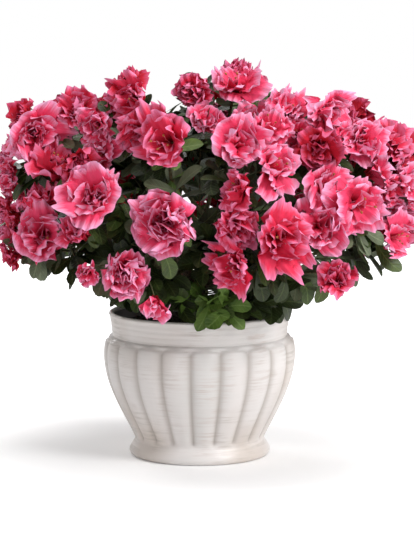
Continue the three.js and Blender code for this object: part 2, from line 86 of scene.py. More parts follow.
# bough, then for each of its masses: name, bearing from the front, reach and height of its leading
# blossom, side blossoms, their distance, the first one's turn, the step to the next, leafy sprays
BOUGHS = {
    "leader": [
        ("crown_top", 23, 92, 389, 4, 46, -174, 46, 0),
        ("crown_left", -118, 84, 358, 4, 50, 40, 90, 1),
        ("crown_right", 110, 84, 356, 4, 50, -10, 90, 1),
        ("top_left", -29, 134, 374, 3, 46, -150, 75, 1),
        ("top_right", 49, 168, 360, 3, 44, 170, 78, 1),
    ],
    "left": [
        ("left_shoulder", -60, 186, 337, 4, 46, 150, -93, 1),
        ("left_face", -31, 198, 285, 3, 39, 14, 113, 4),
        ("left_flank", -49, 204, 242, 4, 50, 57, 52, 4),
    ],
    "front_left": [
        ("upper_left_face", -11, 169, 335, 2, 42, -167, 125, 1),
        ("low_face", -10, 187, 260, 0, 40, 0, 0, 4),
        ("skirt_left", -22, 192, 209, 1, 42, 178, 161, 4),
    ],
    "front_right": [
        ("upper_right_face", 13, 172, 333, 4, 43, -154, 63, 1),
        ("low_right", 23, 195, 243, 3, 46, 211, -48, 4),
    ],
    "right": [
        ("right_shoulder", 76, 200, 326, 3, 46, -10, -72, 1),
        ("right_face", 48, 210, 273, 3, 50, 80, 60, 2),
        ("right_tip", 71, 210, 233, 0, 46, 0, 0, 4),
        ("skirt_right", 42, 200, 203, 0, 46, 0, 0, 4),
    ],
    "back_right": [
        ("back_right_high", 122, 168, 324, 5, 54, 0, 72, 1),
        ("back_right_low", 124, 186, 262, 4, 54, 50, 90, 2),
        ("back_low_right", 158, 200, 246, 4, 54, 10, 90, 2),
    ],
    "back_left": [
        ("back_high", 178, 156, 332, 4, 54, 30, 90, 1),
        ("back_left_high", -122, 158, 322, 4, 54, 60, 90, 1),
        ("back_left_low", -112, 182, 262, 4, 54, 20, 90, 2),
        ("back_low_left", -160, 198, 246, 4, 54, 40, 90, 2),
    ],
}
ROW_KEYS = "name bearing reach height sides spread turn step sprays".split()
BASAL = dict(count=5, first=4, reach=112, height=178, sprays=4, spread=30, sides=0, turn=0, step=0)

# late, half-open blossoms on thin twigs of their own: bearing, reach, height, radius, nod (how far
# the flower hangs its head)
LATE_BLOSSOMS = [(-14, 181, 178, 20, 1.4), (-32, 202, 210, 16, 0.1), (-66, 209, 291, 15, 0.3)]

# the smaller blossoms beside each main one: how near they come, how many are tried, the chance that one
# is a tint deeper, painted shade for a blossom half behind the first, and the masses whose blossoms
# stand alone
TRUSS = dict(
    tries=2, radius=(17, 22), sink=(6, 14), away=(0.85, 1.05), outward=(0.3, 0.7), room=7, lowest=228,
    apart=9, deeper=0.6, lonely="""right_tip low_face skirt_right skirt_left upper_left_face left_face
    low_right right_face left_shoulder upper_right_face""".split())
# blossoms on fine twigs that close the top and the back of the crown, and the curve of its top
CLOSING = dict(
    tries=70, spread=1.7, sink=(4, 26), radius=(17, 22), behind=-45, lowest=232, room=3, apart=11,
    up=0.25, top=376, flat=0.0008, tilt=0.122, reach_up=0.75)
CORE = 0.42                      # the share of a blossom's radius that later ones keep clear of
# leafy twigs placed one by one: bearing, reach, height, leaf tint
RIM_TWIGS = [
    (6, 90, 168, 3), (15, 94, 164, 3), (22, 88, 172, 1), (33, 92, 168, 0), (42, 88, 174, 0),
    (50, 94, 166, 0), (60, 88, 172, 0), (-12, 86, 172, 0), (38, 84, 182, 0), (54, 86, 180, 0),
]
FRONT_TWIGS = [
    (4, 120, 215, 0), (12, 125, 235, 0), (20, 120, 210, 0), (9, 110, 250, 0), (-3, 115, 245, 0),
    (11, 132, 222, 0), (16, 138, 238, 0), (6, 135, 228, 0), (3, 128, 238, 0), (-40, 130, 222, 0),
    (-34, 128, 212, 0), (-30, 135, 232, 0), (-45, 120, 205, 0), (-25, 120, 200, 0), (-17, 120, 197, 0),
]
TOP_TWIGS = [
    (180, 55, 318, 1), (168, 85, 322, 0), (-168, 78, 318, 0), (-90, 75, 298, 0), (-98, 95, 286, 1),
    (88, 78, 300, 0), (78, 96, 288, 1),
]
CROWN_EDGE = (-200, 236)         # how far the crown reaches to the left and to the right
YOUNGEST = 14                    # the radius of the smallest blossoms, at the crown's edge
BLOSSOM_SIZES = dict(
    skirt_right=0.8, skirt_left=0.98, crown_top=0.9, top_left=0.9, top_right=1.0, crown_left=0.85,
    crown_right=0.82, left_shoulder=1.1, right_shoulder=1.04, upper_left_face=0.98,
    upper_right_face=1.02, right_face=1.08, low_right=1.06, left_face=1.03, left_flank=1.1,
)
NOD = 0.85                       # how far a blossom may turn away from the way its shoot faces
# the fine twigs of one mass: how many, how deep and how far out they end, the room they need and how
# far they stay above the skirt
FINE = dict(twigs=24, basal_twigs=26, sink=(10, 85), spread=1.25, room=4, clear=8)
# how long a leaf is and how much it hangs, how far it stays below its mass's face (on masses that are
# higher than high) or may pass the ring and the top of its blossoms, how much more a large one has,
# how its top turns, and the share of a blossom's radius that it keeps off its middle
LEAF = dict(
    length=27, range=10, hang=0.25, below_face=5, past_ring=18, past_top=12, high=240, large=6,
    outward=0.75, sway=0.45, roll=0.3, off_bloom=0.5)
LARGE_LEAVED = ("right_tip", "skirt_right")
# whorls of leaves: where on the twig, how many leaves and how far they lean forward
WHORLS = dict(
    blossom=[(0.9, 5, 0.55), (0.62, 3, 0.4)],
    spray=[(0.98, 6, 0.9), (0.75, 4, 0.5), (0.5, 3, 0.3)],
    fine=[(1.0, 5, 0.7), (0.7, 4, 0.4), (0.42, 3, 0.3)],
    placed=[(1.0, 5, 0.8), (0.75, 3, 0.8)],
    late=[(0.85, 4, 0.5)],
)
# the chances of each leaf tint: dark, green, grey and bright; the grey tint is partly the paler grey
# green of leaf backs and partly painted sheen
TINT_CHANCES = dict(
    crown=(0.5, 0.28, 0.16, 0.06), basal=(0.16, 0.34, 0.16, 0.34), large=(0.2, 0.25, 0.5, 0.05))

# ---------- Tools for numbers and curves ----------

WORD = 0xFFFFFFFF


def random_from(seed):
    """The same seed always gives the same numbers from 0 to 1, here and in the solids."""
    state = seed & WORD

    def draw():
        nonlocal state
        state = (state + 0x6D2B79F5) & WORD
        t = ((state ^ (state >> 15)) * (1 | state)) & WORD
        t = ((t + (((t ^ (t >> 7)) * (61 | t)) & WORD)) & WORD) ^ t
        return (t ^ (t >> 14)) / 4294967296

    return draw


def smooth(share):
    share = np.clip(share, 0, 1)
    return share * share * (3 - 2 * share)


def between(low, high, share):
    return low + (high - low) * share


class Bend:
    """A Bezier curve through any number of control points."""

    def __init__(self, *points):
        self.points = points

    def at(self, share):
        points = list(self.points)
        while len(points) > 1:
            points = [a.lerp(b, share) for a, b in zip(points, points[1:])]
        return points[0]

    def tangent(self, share):
        step = 1e-4
        return (self.at(min(1, share + step)) - self.at(max(0, share - step))).normalized()

    def places(self, count):
        return [self.at(i / (count - 1)) for i in range(count)]


def frame_along(direction):
    """Unit vectors across and upright to a direction."""
    reference = Vector((0, 0, 1)) if abs(direction.z) < 0.95 else Vector((0, 1, 0))
    across = reference.cross(direction).normalized()
    return across, across.cross(direction)


# ---------- How the plant grows ----------


def crown_point(bearing, reach, height):
    angle = math.radians(bearing)
    return Vector((reach * math.sin(angle), -reach * math.cos(angle), height))


def facing_at(point):
    away = point - HEART
    return Vector(a * b for a, b in zip(away, OPEN)).normalized()


def calyx_of(tip, facing, radius):
    return tip - facing * radius * BLOOM["seat"]


def middle_of(tip, facing, radius):
    return tip - facing * BLOOM["middle"] * radius


def on_mound(lead, out, angle, away, sink):
    """A point at an angle round the leading tip, sunk below the mass's rounded face, and its side."""
    right = Vector((0, 0, 1)).cross(out).normalized()
    side = right * math.cos(angle) + out.cross(right) * math.sin(angle)
    return lead + side * away - out * (away * away / (2 * MOUND) + sink), side


def lead_of(row):
    return crown_point(row["bearing"], row["reach"], row["height"])


def heart_of(row):
    lead = lead_of(row)
    return lead - facing_at(lead) * STEM["reach"]


TRUNK_TOP = Vector((-TRUNK["lean"], 0, TRUNK["base"] + TRUNK["height"]))


def bough_curve(rows):
    middle = sum((heart_of(row) for row in rows), Vector()) / len(rows)
    run = middle - TRUNK_TOP
    start = TRUNK_TOP + run.normalized() * (TRUNK["fork_radius"] + TRUNK["stub_length"])
    end = TRUNK_TOP + run * BOUGH["share"]
    bend = start.lerp(end, 0.5)
    bend.z -= BOUGH["sag"] * math.hypot(run.x, run.y)
    return Bend(start, bend, end)


def stem_starts(rows, curve):
    """For each mass on a bough, the point on it, the way its stem leaves and how far out it starts."""
    starts = {}
    for i, row in enumerate(sorted(rows, key=lambda row: row["height"])):
        share = 1 if len(rows) == 1 else between(0.5, 1, i / (len(rows) - 1))
        point, tangent = curve.at(share), curve.tangent(share)
        direction = (heart_of(row) - point).normalized()
        if share < 1:
            sideways = direction - tangent * direction.dot(tangent)
            forward = min(direction.dot(tangent), sideways.length / math.tan(BRANCH_ANGLE))
            direction = (sideways + tangent * forward).normalized()
        radius = between(BOUGH["base_radius"], BOUGH["tip_radius"], share)
        starts[row["name"]] = (point, direction, radius + BOUGH["stub_length"])
    return starts


def stem_curve(start, direction, row):
    lead = lead_of(row)
    calyx = calyx_of(lead, facing_at(lead), BLOOM["lead_radius"])
    return Bend(start, start + direction * STEM["reach"] * 0.4, heart_of(row), calyx)


def shoots_of(row, index, leafy):
    """The leading shoot, side blossoms in a ring round it and leafy sprays fanned out below them."""
    random = random_from(SEED * 100 + index)
    lead = lead_of(row)
    out = facing_at(lead)
    shoots = [dict(tip=lead, facing=out, radius=0 if leafy else BLOOM["lead_radius"], share=1)]

    def add_side(angle, away, sink, radius):
        tip, side = on_mound(lead, out, angle, away, sink)
        facing = (facing_at(tip) + side * RING["splay"]).normalized()
        shoots.append(dict(tip=tip, facing=facing, radius=radius, share=0.45 + 0.4 * random()))

    for i in range(row["sides"]):
        angle = math.radians(row["turn"] + row["step"] * i + RING["jitter"] * (random() - 0.5))
        away = row["spread"] * (1 + RING["spread"] * (random() - 0.5))
        radius = BLOOM["side_radius"] + BLOOM["side_range"] * random()
        add_side(angle, away, RING["sink"] * random(), radius)
    fan = SPRAY["basal_fan"] if leafy else SPRAY["fan"]
    for i in range(row["sprays"]):
        turn = -90 + fan * ((i + 0.5) / row["sprays"] - 0.5) + SPRAY["jitter"] * (random() - 0.5)
        away = row["spread"] * (0.75 + 0.3 * random())
        sink = (0 if leafy else SPRAY["sink"]) + SPRAY["sink_range"] * random()
        add_side(math.radians(turn), away, sink, 0)
    return shoots


middles = {}


def room_at(owner, point):
    """How far a point is from the wall between its own mass's space and the nearest other one's."""
    own = middles[owner]
    reach = (point - own).length_squared
    return min(
        ((point - other).length_squared - reach) / (2 * (own - other).length)
        for name, other in middles.items() if name != owner
    )


def in_cleft(point, radius):
    """Whether a blossom of a radius, or a leaf's tip, would close the cleft in the crown."""
    margin = radius * CLEFT["bloom_share"]
    above = point.z + margin - (CLEFT["floor"] - CLEFT["fall"] * point.y)
    half = CLEFT["width"] + CLEFT["slope"] * above + margin
    return above > 0 and abs(point.x - CLEFT["x"]) < half


def hangs_low(owner, point):
    """Whether a point is below the crown's skirt, which rises like a bowl."""
    away = math.hypot(point.x, point.y)
    if owner.startswith("basal"):
        on_rim = POT["collar_radius"] - 7 < away < POT["rim_radius"] + 6
        return point.z < SKIRT["on_rim" if on_rim else "basal"]
    outward = max(0, away - SKIRT["from_axis"]) / SKIRT["over"]
    return point.z < SKIRT["crown"] + SKIRT["rise"] * outward**2


def settled(owner, shoots):
    """Slides side shoots towards the leading one until they have room, and drops the crowded ones."""
    lead = shoots[0]
    kept = [lead]
    for shoot in shoots[1:]:
        tip = shoot["tip"].copy()
        room = ROOM["bloom"] if shoot["radius"] else ROOM["spray"]
        for _ in range(8):
            if room_at(owner, tip) >= room:
                break
            tip = tip.lerp(lead["tip"], 0.06)
        crowded = any(
            other["radius"] and shoot["radius"] and (tip - other["tip"]).length
            < ROOM["bloom_share"] * (other["radius"] + shoot["radius"]) for other in kept
        )
        if room_at(owner, tip) > room * 0.5 and not crowded and not in_cleft(tip, shoot["radius"]):
            kept.append(dict(shoot, tip=tip))
    return kept


def grown_plant():
    """The boughs' curves and, for each mass, its row, stem and shoots."""
    boughs, masses = {}, []

    def add_mass(row, foot, direction, length, leafy):
        start = foot + direction * (length + GAP)
        shoots = shoots_of(row, len(masses), leafy)
        middle = sum((shoot["tip"] for shoot in shoots), Vector()) / len(shoots)
        middles[row["name"]] = middle - shoots[0]["facing"] * MIDDLE_DEPTH
        stem = stem_curve(start, direction, row)
        masses.append(dict(row=row, foot=foot, stem=stem, shoots=shoots, leafy=leafy))

    for name, lists in BOUGHS.items():
        rows = [dict(zip(ROW_KEYS, values)) for values in lists]
        boughs[name] = bough_curve(rows)
        starts = stem_starts(rows, boughs[name])
        for row in rows:
            add_mass(row, *starts[row["name"]], False)
    for i in range(BASAL["count"]):
        row = dict(BASAL, name=f"basal_{i + 1}", bearing=BASAL["first"] + 360 * i / BASAL["count"])
        foot = Vector((-TRUNK["lean"] * 0.4, 0, TRUNK["base"] + TRUNK["height"] * 0.4))
        direction = heart_of(row) - foot
        direction.z = 4
        length = TRUNK["neck_radius"] + TRUNK["stub_length"] - GAP
        add_mass(row, foot, direction.normalized(), length, True)
    for mass in masses:
        mass["shoots"] = settled(mass["row"]["name"], mass["shoots"])
    return boughs, masses



# ---------- Tools for meshes, node trees and finishes ----------


class Nodes:
    """Adds nodes to a tree. An input's value is a plain value or the output that feeds it."""

    def __init__(self, tree):
        self.tree = tree

    def add(self, kind, inputs=(), **settings):
        node = self.tree.nodes.new(kind)
        for key, value in settings.items():
            setattr(node, key, value)
        for key, value in dict(inputs).items():
            if isinstance(value, bpy.types.NodeSocket):
                self.tree.links.new(value, node.inputs[key])
            else:
                node.inputs[key].default_value = value
        return node

    def calc(self, operation, *values):
        return self.add("ShaderNodeMath", enumerate(values), operation=operation).outputs[0]

    def minus(self, first, second):
        return self.calc("SUBTRACT", first, second)

    def times(self, product, *factors):
        for factor in factors:
            product = self.calc("MULTIPLY", product, factor)
        return product

    def eased(self, value, low, high, start=0.0, end=1.0):
        """Start where the value is low, end where it is high, and a soft step between them."""
        return self.add("ShaderNodeMapRange", {
            "Value": value, "From Min": low, "From Max": high, "To Min": start, "To Max": end,
        }, interpolation_type="SMOOTHSTEP").outputs[0]

    def vector(self, operation, *values):
        return self.add("ShaderNodeVectorMath", enumerate(values), operation=operation).outputs[0]

    def noise(self, place, scale, stretch=(1, 1, 1), detail=3.0, roughness=0.5):
        return self.add("ShaderNodeTexNoise", {
            "Vector": self.vector("MULTIPLY", place, stretch), "Scale": scale, "Detail": detail,
            "Roughness": roughness,
        }).outputs["Fac"]


class Finish(Nodes):
    """A new material with its shader's plain sockets set, and its nodes."""

    def __init__(self, name, **sockets):
        self.material = bpy.data.materials.new(name)
        self.material.use_nodes = True
        super().__init__(self.material.node_tree)
        self.shader = self.tree.nodes["Principled BSDF"]
        for label, value in sockets.items():
            self.shader.inputs[label.replace("_", " ")].default_value = value

    def place(self):
        return self.add("ShaderNodeTexCoord").outputs["Object"]

    def marked(self, name):
        """A number that a mesh holds at each vertex."""
        return self.add("ShaderNodeAttribute", attribute_name=name).outputs["Fac"]

    def flat_place(self):
        """The flat map, how far off the midline a point is (1 at the edge) and how far along."""
        flat = self.add("ShaderNodeUVMap", uv_map=FLAT_MAP).outputs[0]
        across, along, _ = self.add("ShaderNodeSeparateXYZ", {0: flat}).outputs
        return flat, self.times(self.calc("ABSOLUTE", self.minus(across, 0.5)), 2.0), along

    def ramp(self, factor, *stops):
        """A colour ramp through (place, colour) stops. A colour may be a plain grey."""
        node = self.add("ShaderNodeValToRGB", {"Fac": factor})
        band = node.color_ramp
        while len(band.elements) < len(stops):
            band.elements.new(0.5)
        for element, (place, colour) in zip(band.elements, stops):
            colour = colour if isinstance(colour, tuple) else (colour,) * 3
            element.position, element.color = place, (*colour, 1)
        return node.outputs["Color"]

    def mix(self, factor, first, second):
        """The first colour, an output, mixed with the second, an output or a plain colour."""
        second = (*second, 1) if isinstance(second, tuple) else second
        node = self.add("ShaderNodeMix", {0: factor, 6: first, 7: second}, data_type="RGBA")
        return node.outputs[2]

    def give(self, label, output):
        self.tree.links.new(output, self.shader.inputs[label])

    def relief(self, height, distance, strength=1.0):
        bump = self.add("ShaderNodeBump", {
            "Height": height, "Distance": distance, "Strength": strength,
        })
        self.give("Normal", bump.outputs[0])


def mesh_from(name, places, faces, flat_map=None):
    """A smooth mesh in metres from places in millimetres. flat_map gives each vertex its (u, v)."""
    mesh = bpy.data.meshes.new(name)
    mesh.from_pydata((np.asarray(places, float) * MM).tolist(), [], faces)
    if flat_map is not None:
        layer = mesh.uv_layers.new(name=FLAT_MAP)
        corners = np.empty(len(mesh.loops), np.int32)
        mesh.loops.foreach_get("vertex_index", corners)
        layer.data.foreach_set("uv", np.asarray(flat_map, np.float32)[corners].ravel())
    mesh.shade_smooth()
    return mesh


def hold(mesh, label, values, kind="FLOAT"):
    """Gives each vertex a value, or a vector, that trees and finishes read by its label."""
    layer = mesh.attributes.new(label, kind, "POINT")
    key = "vector" if kind == "FLOAT_VECTOR" else "value"
    layer.data.foreach_set(key, np.array(values).ravel())


def new_object(name, data, collection=None):
    piece = bpy.data.objects.new(name, data)
    (collection or bpy.context.scene.collection).objects.link(piece)
    return piece


def sheet_faces(rows, columns, first=0):
    """The faces of a grid of rows by columns of vertices."""
    return [
        (row + c, row + c + 1, row + columns + c + 1, row + columns + c)
        for row in range(first, first + (rows - 1) * columns, columns) for c in range(columns - 1)
    ]


def band_faces(rings, sides):
    """The faces between closed rings of vertices, one ring after the other."""
    return [
        (row + k, row + (k + 1) % sides, row + sides + (k + 1) % sides, row + sides + k)
        for row in range(0, (rings - 1) * sides, sides) for k in range(sides)
    ]


def lathed(profile, segments):
    """Vertices and faces of a closed profile of (radius, height) pairs turned about the axis. The
    profile runs from the axis at the bottom, up the outside, to the axis at the top."""
    inner = profile[1:-1]
    turns = [2 * math.pi * i / segments for i in range(segments)]
    places = [(r * math.sin(t), -r * math.cos(t), z) for r, z in inner for t in turns]
    faces = band_faces(len(inner), segments)
    bottom, top, last = len(places), len(places) + 1, (len(inner) - 1) * segments
    places += [(0, 0, profile[0][1]), (0, 0, profile[-1][1])]
    for i in range(segments):
        after = (i + 1) % segments
        faces += [(bottom, after, i), (top, last + i, last + after)]
    return places, faces


def new_tree(name, **inputs):
    """A geometry tree's nodes, and its named inputs of the given kinds."""
    tree = bpy.data.node_groups.new(name, "GeometryNodeTree")
    tree.interface.new_socket("Geometry", in_out="INPUT", socket_type="NodeSocketGeometry")
    for label, kind in inputs.items():
        tree.interface.new_socket(label, in_out="INPUT", socket_type="NodeSocket" + kind)
    tree.interface.new_socket("Geometry", in_out="OUTPUT", socket_type="NodeSocketGeometry")
    nodes = Nodes(tree)
    return nodes, nodes.add("NodeGroupInput").outputs


def held(nodes, label, kind="FLOAT"):
    """In a geometry tree, what the vertices hold under a label."""
    return nodes.add("GeometryNodeInputNamedAttribute", {"Name": label}, data_type=kind).outputs[0]


def set_at(nodes, points, instance, turn, size, **inputs):
    """Puts an instance at each point, turned and sized."""
    rotation = nodes.add("FunctionNodeEulerToRotation", {0: turn}).outputs[0]
    return nodes.add("GeometryNodeInstanceOnPoints", {
        "Points": points, "Instance": instance, "Rotation": rotation, "Scale": size, **inputs,
    }).outputs[0]


def finished_tree(nodes, geometry, finish):
    """Ends a tree: instances are realized and the finish is set."""
    real = nodes.add("GeometryNodeRealizeInstances", {0: geometry}).outputs[0]
    dressed = nodes.add("GeometryNodeSetMaterial", {"Geometry": real, "Material": finish})
    nodes.add("NodeGroupOutput", {0: dressed.outputs[0]})
    return nodes.tree


def grown(name, mesh, tree, **values):
    """The plain mesh piece that a tree makes of a mesh, with the tree's inputs set to values."""
    plan = new_object(name + "_plan", mesh)
    growth = plan.modifiers.new("growth", "NODES")
    growth.node_group = tree
    for item in tree.interface.items_tree:
        if item.in_out == "INPUT" and item.name in values:
            growth[item.identifier] = values[item.name]
    graph = bpy.context.evaluated_depsgraph_get()
    made = bpy.data.meshes.new_from_object(plan.evaluated_get(graph), depsgraph=graph)
    bpy.data.objects.remove(plan)
    return new_object(name, made)


def handed_in(piece, nodes):
    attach(piece, BODY)
    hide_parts(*nodes)


# ---------- Growth trees ----------

# how softly the lobes start at the waist and end under the collar, how far the lobed wall stands
# proud of the band above the lobes, and how far the lobes' tops arch
FLUTING = dict(arch_edge=(-1.2, 2.4), waist_edge=5, neck_edge=3, proud=4.0, arch=5.0, below_collar=1.5)
GROOVE_EDGE = 5.0                # the higher, the nearer the darkening of a groove, partly glaze that pools there and partly painted shade, keeps to it
# crumbs to a square metre, their radius, and the least and the greatest share of it along each axis
CRUMBS = dict(
    density=26000.0, size=1.5, shares=((0.4, 0.3, 0.25), (1.7, 1.1, 0.8)))
ANY_TURN = 6.3                   # a little more than a full turn, in radians


def scatter_tree():
    """Puts one of the pieces of a collection, picked by form, at each point, turned and sized."""
    nodes, given = new_tree("set_out", Pieces="Collection", Finish="Material")
    picks = nodes.add("GeometryNodeCollectionInfo", {
        "Collection": given["Pieces"], "Separate Children": True, "Reset Children": True,
    })
    placed = set_at(
        nodes, given["Geometry"], picks.outputs[0], held(nodes, "turn", "FLOAT_VECTOR"),
        held(nodes, "size"), **{"Pick Instance": True, "Instance Index": held(nodes, "form", "INT")})
    return finished_tree(nodes, placed, given["Finish"])


def limb_tree():
    """Gives every line of a plan a round, tapered limb, with ridged bark on it."""
    nodes, given = new_tree("limbs", Sides="Int", Relief="Float", Grain="Float", Finish="Material")
    line = nodes.add("GeometryNodeMeshToCurve", {"Mesh": given["Geometry"]})
    ring = nodes.add("GeometryNodeCurvePrimitiveCircle", {"Resolution": given["Sides"], "Radius": 1.0})
    limb = nodes.add("GeometryNodeCurveToMesh", {
        "Curve": line.outputs[0], "Profile Curve": ring.outputs[0], "Scale": held(nodes, "girth"),
        "Fill Caps": True,
    })
    place = nodes.add("GeometryNodeInputPosition").outputs[0]
    ridges = nodes.noise(place, given["Grain"], stretch=(1, 1, 0.25), detail=4)
    push = nodes.add("ShaderNodeVectorMath", {
        0: nodes.add("GeometryNodeInputNormal").outputs[0],
        "Scale": nodes.times(nodes.minus(ridges, 0.5), given["Relief"]),
    }, operation="SCALE")
    raised = nodes.add("GeometryNodeSetPosition", {
        "Geometry": limb.outputs[0], "Offset": push.outputs[0]})
    return finished_tree(nodes, raised.outputs[0], given["Finish"])


def flute_tree():
    """Presses convex lobes with arched tops into a turned pot."""
    nodes, given = new_tree(
        "fluting", Lobes="Float", First="Float", Depth="Float", Waist="Float", Collar="Float",
        Proud="Float", Arch="Float", Finish="Material")
    calc, times, minus, eased = nodes.calc, nodes.times, nodes.minus, nodes.eased
    place = nodes.add("GeometryNodeInputPosition").outputs[0]
    x, y, z = nodes.add("ShaderNodeSeparateXYZ", {0: place}).outputs
    pitch = calc("DIVIDE", 2 * math.pi, given["Lobes"])
    bearing = calc("ARCTAN2", x, times(y, -1.0))
    turn = calc("FLOORED_MODULO", calc("DIVIDE", minus(bearing, given["First"]), pitch), 1.0)
    off = times(calc("ABSOLUTE", minus(turn, 0.5)), 2.0)
    bulge = calc("SQRT", calc("MAXIMUM", minus(1.0, times(off, off)), 0.0))
    groove = minus(1.0, bulge)
    top = minus(given["Collar"], times(given["Arch"], groove))
    below, over = (edge * MM for edge in FLUTING["arch_edge"])
    under = eased(minus(top, z), below, over)
    above = eased(minus(z, given["Waist"]), 0.0, FLUTING["waist_edge"] * MM)
    neck = eased(minus(z, given["Collar"]), 0.0, FLUTING["neck_edge"] * MM)
    lobed = times(under, above)
    sunk = times(lobed, times(groove, given["Depth"]))
    fallen = times(minus(1.0, under), above, given["Proud"], minus(1.0, neck))
    change = times(calc("ADD", sunk, fallen), held(nodes, "outside"))
    radius = calc("SQRT", calc("ADD", times(x, x), times(y, y)))
    scale = calc("DIVIDE", times(change, -1.0), calc("MAXIMUM", radius, 1e-4))
    push = nodes.add("ShaderNodeCombineXYZ", {0: times(x, scale), 1: times(y, scale)})
    pressed = nodes.add("GeometryNodeSetPosition", {
        "Geometry": given["Geometry"], "Offset": push.outputs[0]})
    # the groove mask, which the glaze reads for its darker grooves: glaze that pools there, and painted
    # shade
    marked = nodes.add("GeometryNodeStoreNamedAttribute", {
        "Geometry": pressed.outputs[0], "Name": "groove",
        "Value": times(lobed, calc("POWER", off, GROOVE_EDGE)),
    }, data_type="FLOAT")
    return finished_tree(nodes, marked.outputs[0], given["Finish"])


def crumb_tree():
    """Strews crumbs of peat and bark over a surface."""
    nodes, given = new_tree("crumbs", Density="Float", Size="Float", Seed="Int", Finish="Material")
    spots = nodes.add("GeometryNodeDistributePointsOnFaces", {
        "Mesh": given["Geometry"], "Density": given["Density"], "Seed": given["Seed"]})
    crumb = nodes.add("GeometryNodeMeshIcoSphere", {"Radius": given["Size"], "Subdivisions": 1})
    turn, size = (
        nodes.add("FunctionNodeRandomValue", {0: low, 1: high, "Seed": given["Seed"]},
                  data_type="FLOAT_VECTOR").outputs[0]
        for low, high in (((0, 0, 0), (ANY_TURN,) * 3), CRUMBS["shares"]))
    placed = set_at(nodes, spots.outputs[0], crumb.outputs[0], turn, size)
    return finished_tree(nodes, placed, given["Finish"])


# ---------- Finishes ----------


def glaze():
    """White glaze over brushed slip: beige and grey strokes run round the pot in patches. The grooves
    are darker, partly glaze that pools there and partly painted shade, and the inner wall is painted
    almost black as painted shade under the crown."""
    finish = Finish("white_glaze", Coat_Weight=0.22, Coat_Roughness=0.3)
    place = finish.place()
    strokes = finish.noise(place, 1.0, stretch=(22, 22, 420), detail=4, roughness=0.6)
    patches = finish.noise(place, 34.0, detail=2)
    shifted = finish.vector("ADD", place, (0.31, 0.17, 0.05))
    cloud = finish.noise(shifted, 11.0, stretch=(1, 1, 0.8), detail=2)
    worn = finish.times(
        finish.ramp(strokes, (0.47, 0), (0.6, 1)), finish.ramp(patches, (0.46, 0.1), (0.66, 1)))
    ground = finish.ramp(
        cloud, (0.3, (0.66, 0.59, 0.54)), (0.5, (0.79, 0.75, 0.73)), (0.7, (0.73, 0.71, 0.69)))
    slip = finish.ramp(cloud, (0.4, (0.36, 0.33, 0.28)), (0.6, (0.5, 0.36, 0.3)))
    brushed = finish.mix(finish.times(worn, 0.36), ground, slip)
    # the grooves darken to beige grey: partly glaze that pools in them, partly painted shade
    grooves_darkened = finish.mix(finish.times(finish.marked("groove"), 0.75), brushed, (0.36, 0.31, 0.27))
    # painted shade: the inner wall goes almost black
    shaded_inside = finish.mix(finish.times(finish.marked("inner_wall_shade"), 0.9), grooves_darkened, (0.05, 0.037, 0.028))
    finish.give("Base Color", shaded_inside)
    finish.give("Roughness", finish.ramp(strokes, (0.3, 0.3), (0.7, 0.5)))
    finish.relief(strokes, 0.0006, 0.5)
    return finish.material


def mottled(name, grain, stops, stretch=(1, 1, 1), detail=3.0, relief=0.0, roughness=0.5):
    """A dull finish whose colour, and relief if it has any, follow one grain: soil, bark, stamens."""
    finish = Finish(name, Roughness=roughness)
    lumps = finish.noise(finish.place(), grain, stretch=stretch, detail=detail)
    finish.give("Base Color", finish.ramp(lumps, *stops))
    if relief:
        finish.relief(lumps, relief)
    return finish.material


def leaf_finish(name, deep, blade, rib, gloss):
    """A leaf's blade, blotched between a deep and a lighter green, with a paler midrib and side veins.
    """
    finish = Finish(name, Specular_IOR_Level=0.45)
    times = finish.times
    _, off, along = finish.flat_place()
    blotch = finish.noise(finish.place(), 55.0, detail=2)
    ground = finish.ramp(blotch, (0.35, deep), (0.65, blade))
    slanted = finish.minus(along, times(off, 0.22))
    vein = finish.ramp(finish.calc("SINE", times(slanted, 46.0)), (0.8, 0), (1.0, 1))
    veined = finish.mix(times(vein, 0.22), ground, rib)
    midrib = finish.ramp(off, (0.03, 1), (0.12, 0))
    finish.give("Base Color", finish.mix(times(midrib, 0.55), veined, rib))
    finish.give("Roughness", finish.ramp(blotch, (0.3, gloss), (0.7, gloss + 0.14)))
    finish.relief(vein, 0.0004, 0.6)
    return finish.material


def petal_finish(name, throat, middle, margin):
    """A petal from its deep throat, its own deeper red darkened further as painted shade in the
    blossom's hollow, to its pale ruffled margin, its own paler pink lightened further as a painted
    highlight, with fine streaks along it.
    """
    finish = Finish(name, Roughness=0.6, Specular_IOR_Level=0.22)
    calc, times = finish.calc, finish.times
    flat, off, along = finish.flat_place()
    streaks = finish.noise(flat, 1.0, stretch=(26, 2.2, 1), detail=3)
    ripple = times(finish.minus(streaks, 0.5), 0.32)
    ripe = calc("ADD", calc("ADD", along, ripple), times(calc("POWER", off, 3.0), 0.16))
    # the dark throat is partly painted shade, and the pale margin is partly a painted highlight
    colour = finish.ramp(ripe, (0.12, throat), (0.5, middle), (0.8, middle), (1.04, margin))
    finish.give("Base Color", colour)
    creases = finish.noise(flat, 1.0, stretch=(9, 5, 1), detail=2)
    finish.relief(calc("ADD", times(streaks, 0.3), creases), 0.0022, 0.6)
    return finish.material


# ---------- Blossom and leaf forms ----------

# the petals of each ring, from the outermost in: sizes in blossom radii, lean and opening in degrees
PETALS = [
    dict(length=1.2, width=1.2, lean=16, open=102, cup=0.02, ruffle=0.17, rows=8, columns=20),
    dict(length=1.1, width=1.08, lean=8, open=82, cup=0.04, ruffle=0.18, rows=8, columns=18),
    dict(length=1.0, width=0.82, lean=2, open=56, cup=0.08, ruffle=0.24, rows=7, columns=15),
    dict(length=0.86, width=0.56, lean=-4, open=30, cup=0.15, ruffle=0.26, rows=6, columns=11),
]
PETAL_BASE = -0.55               # the petals' foot, below their ring, in blossom radii
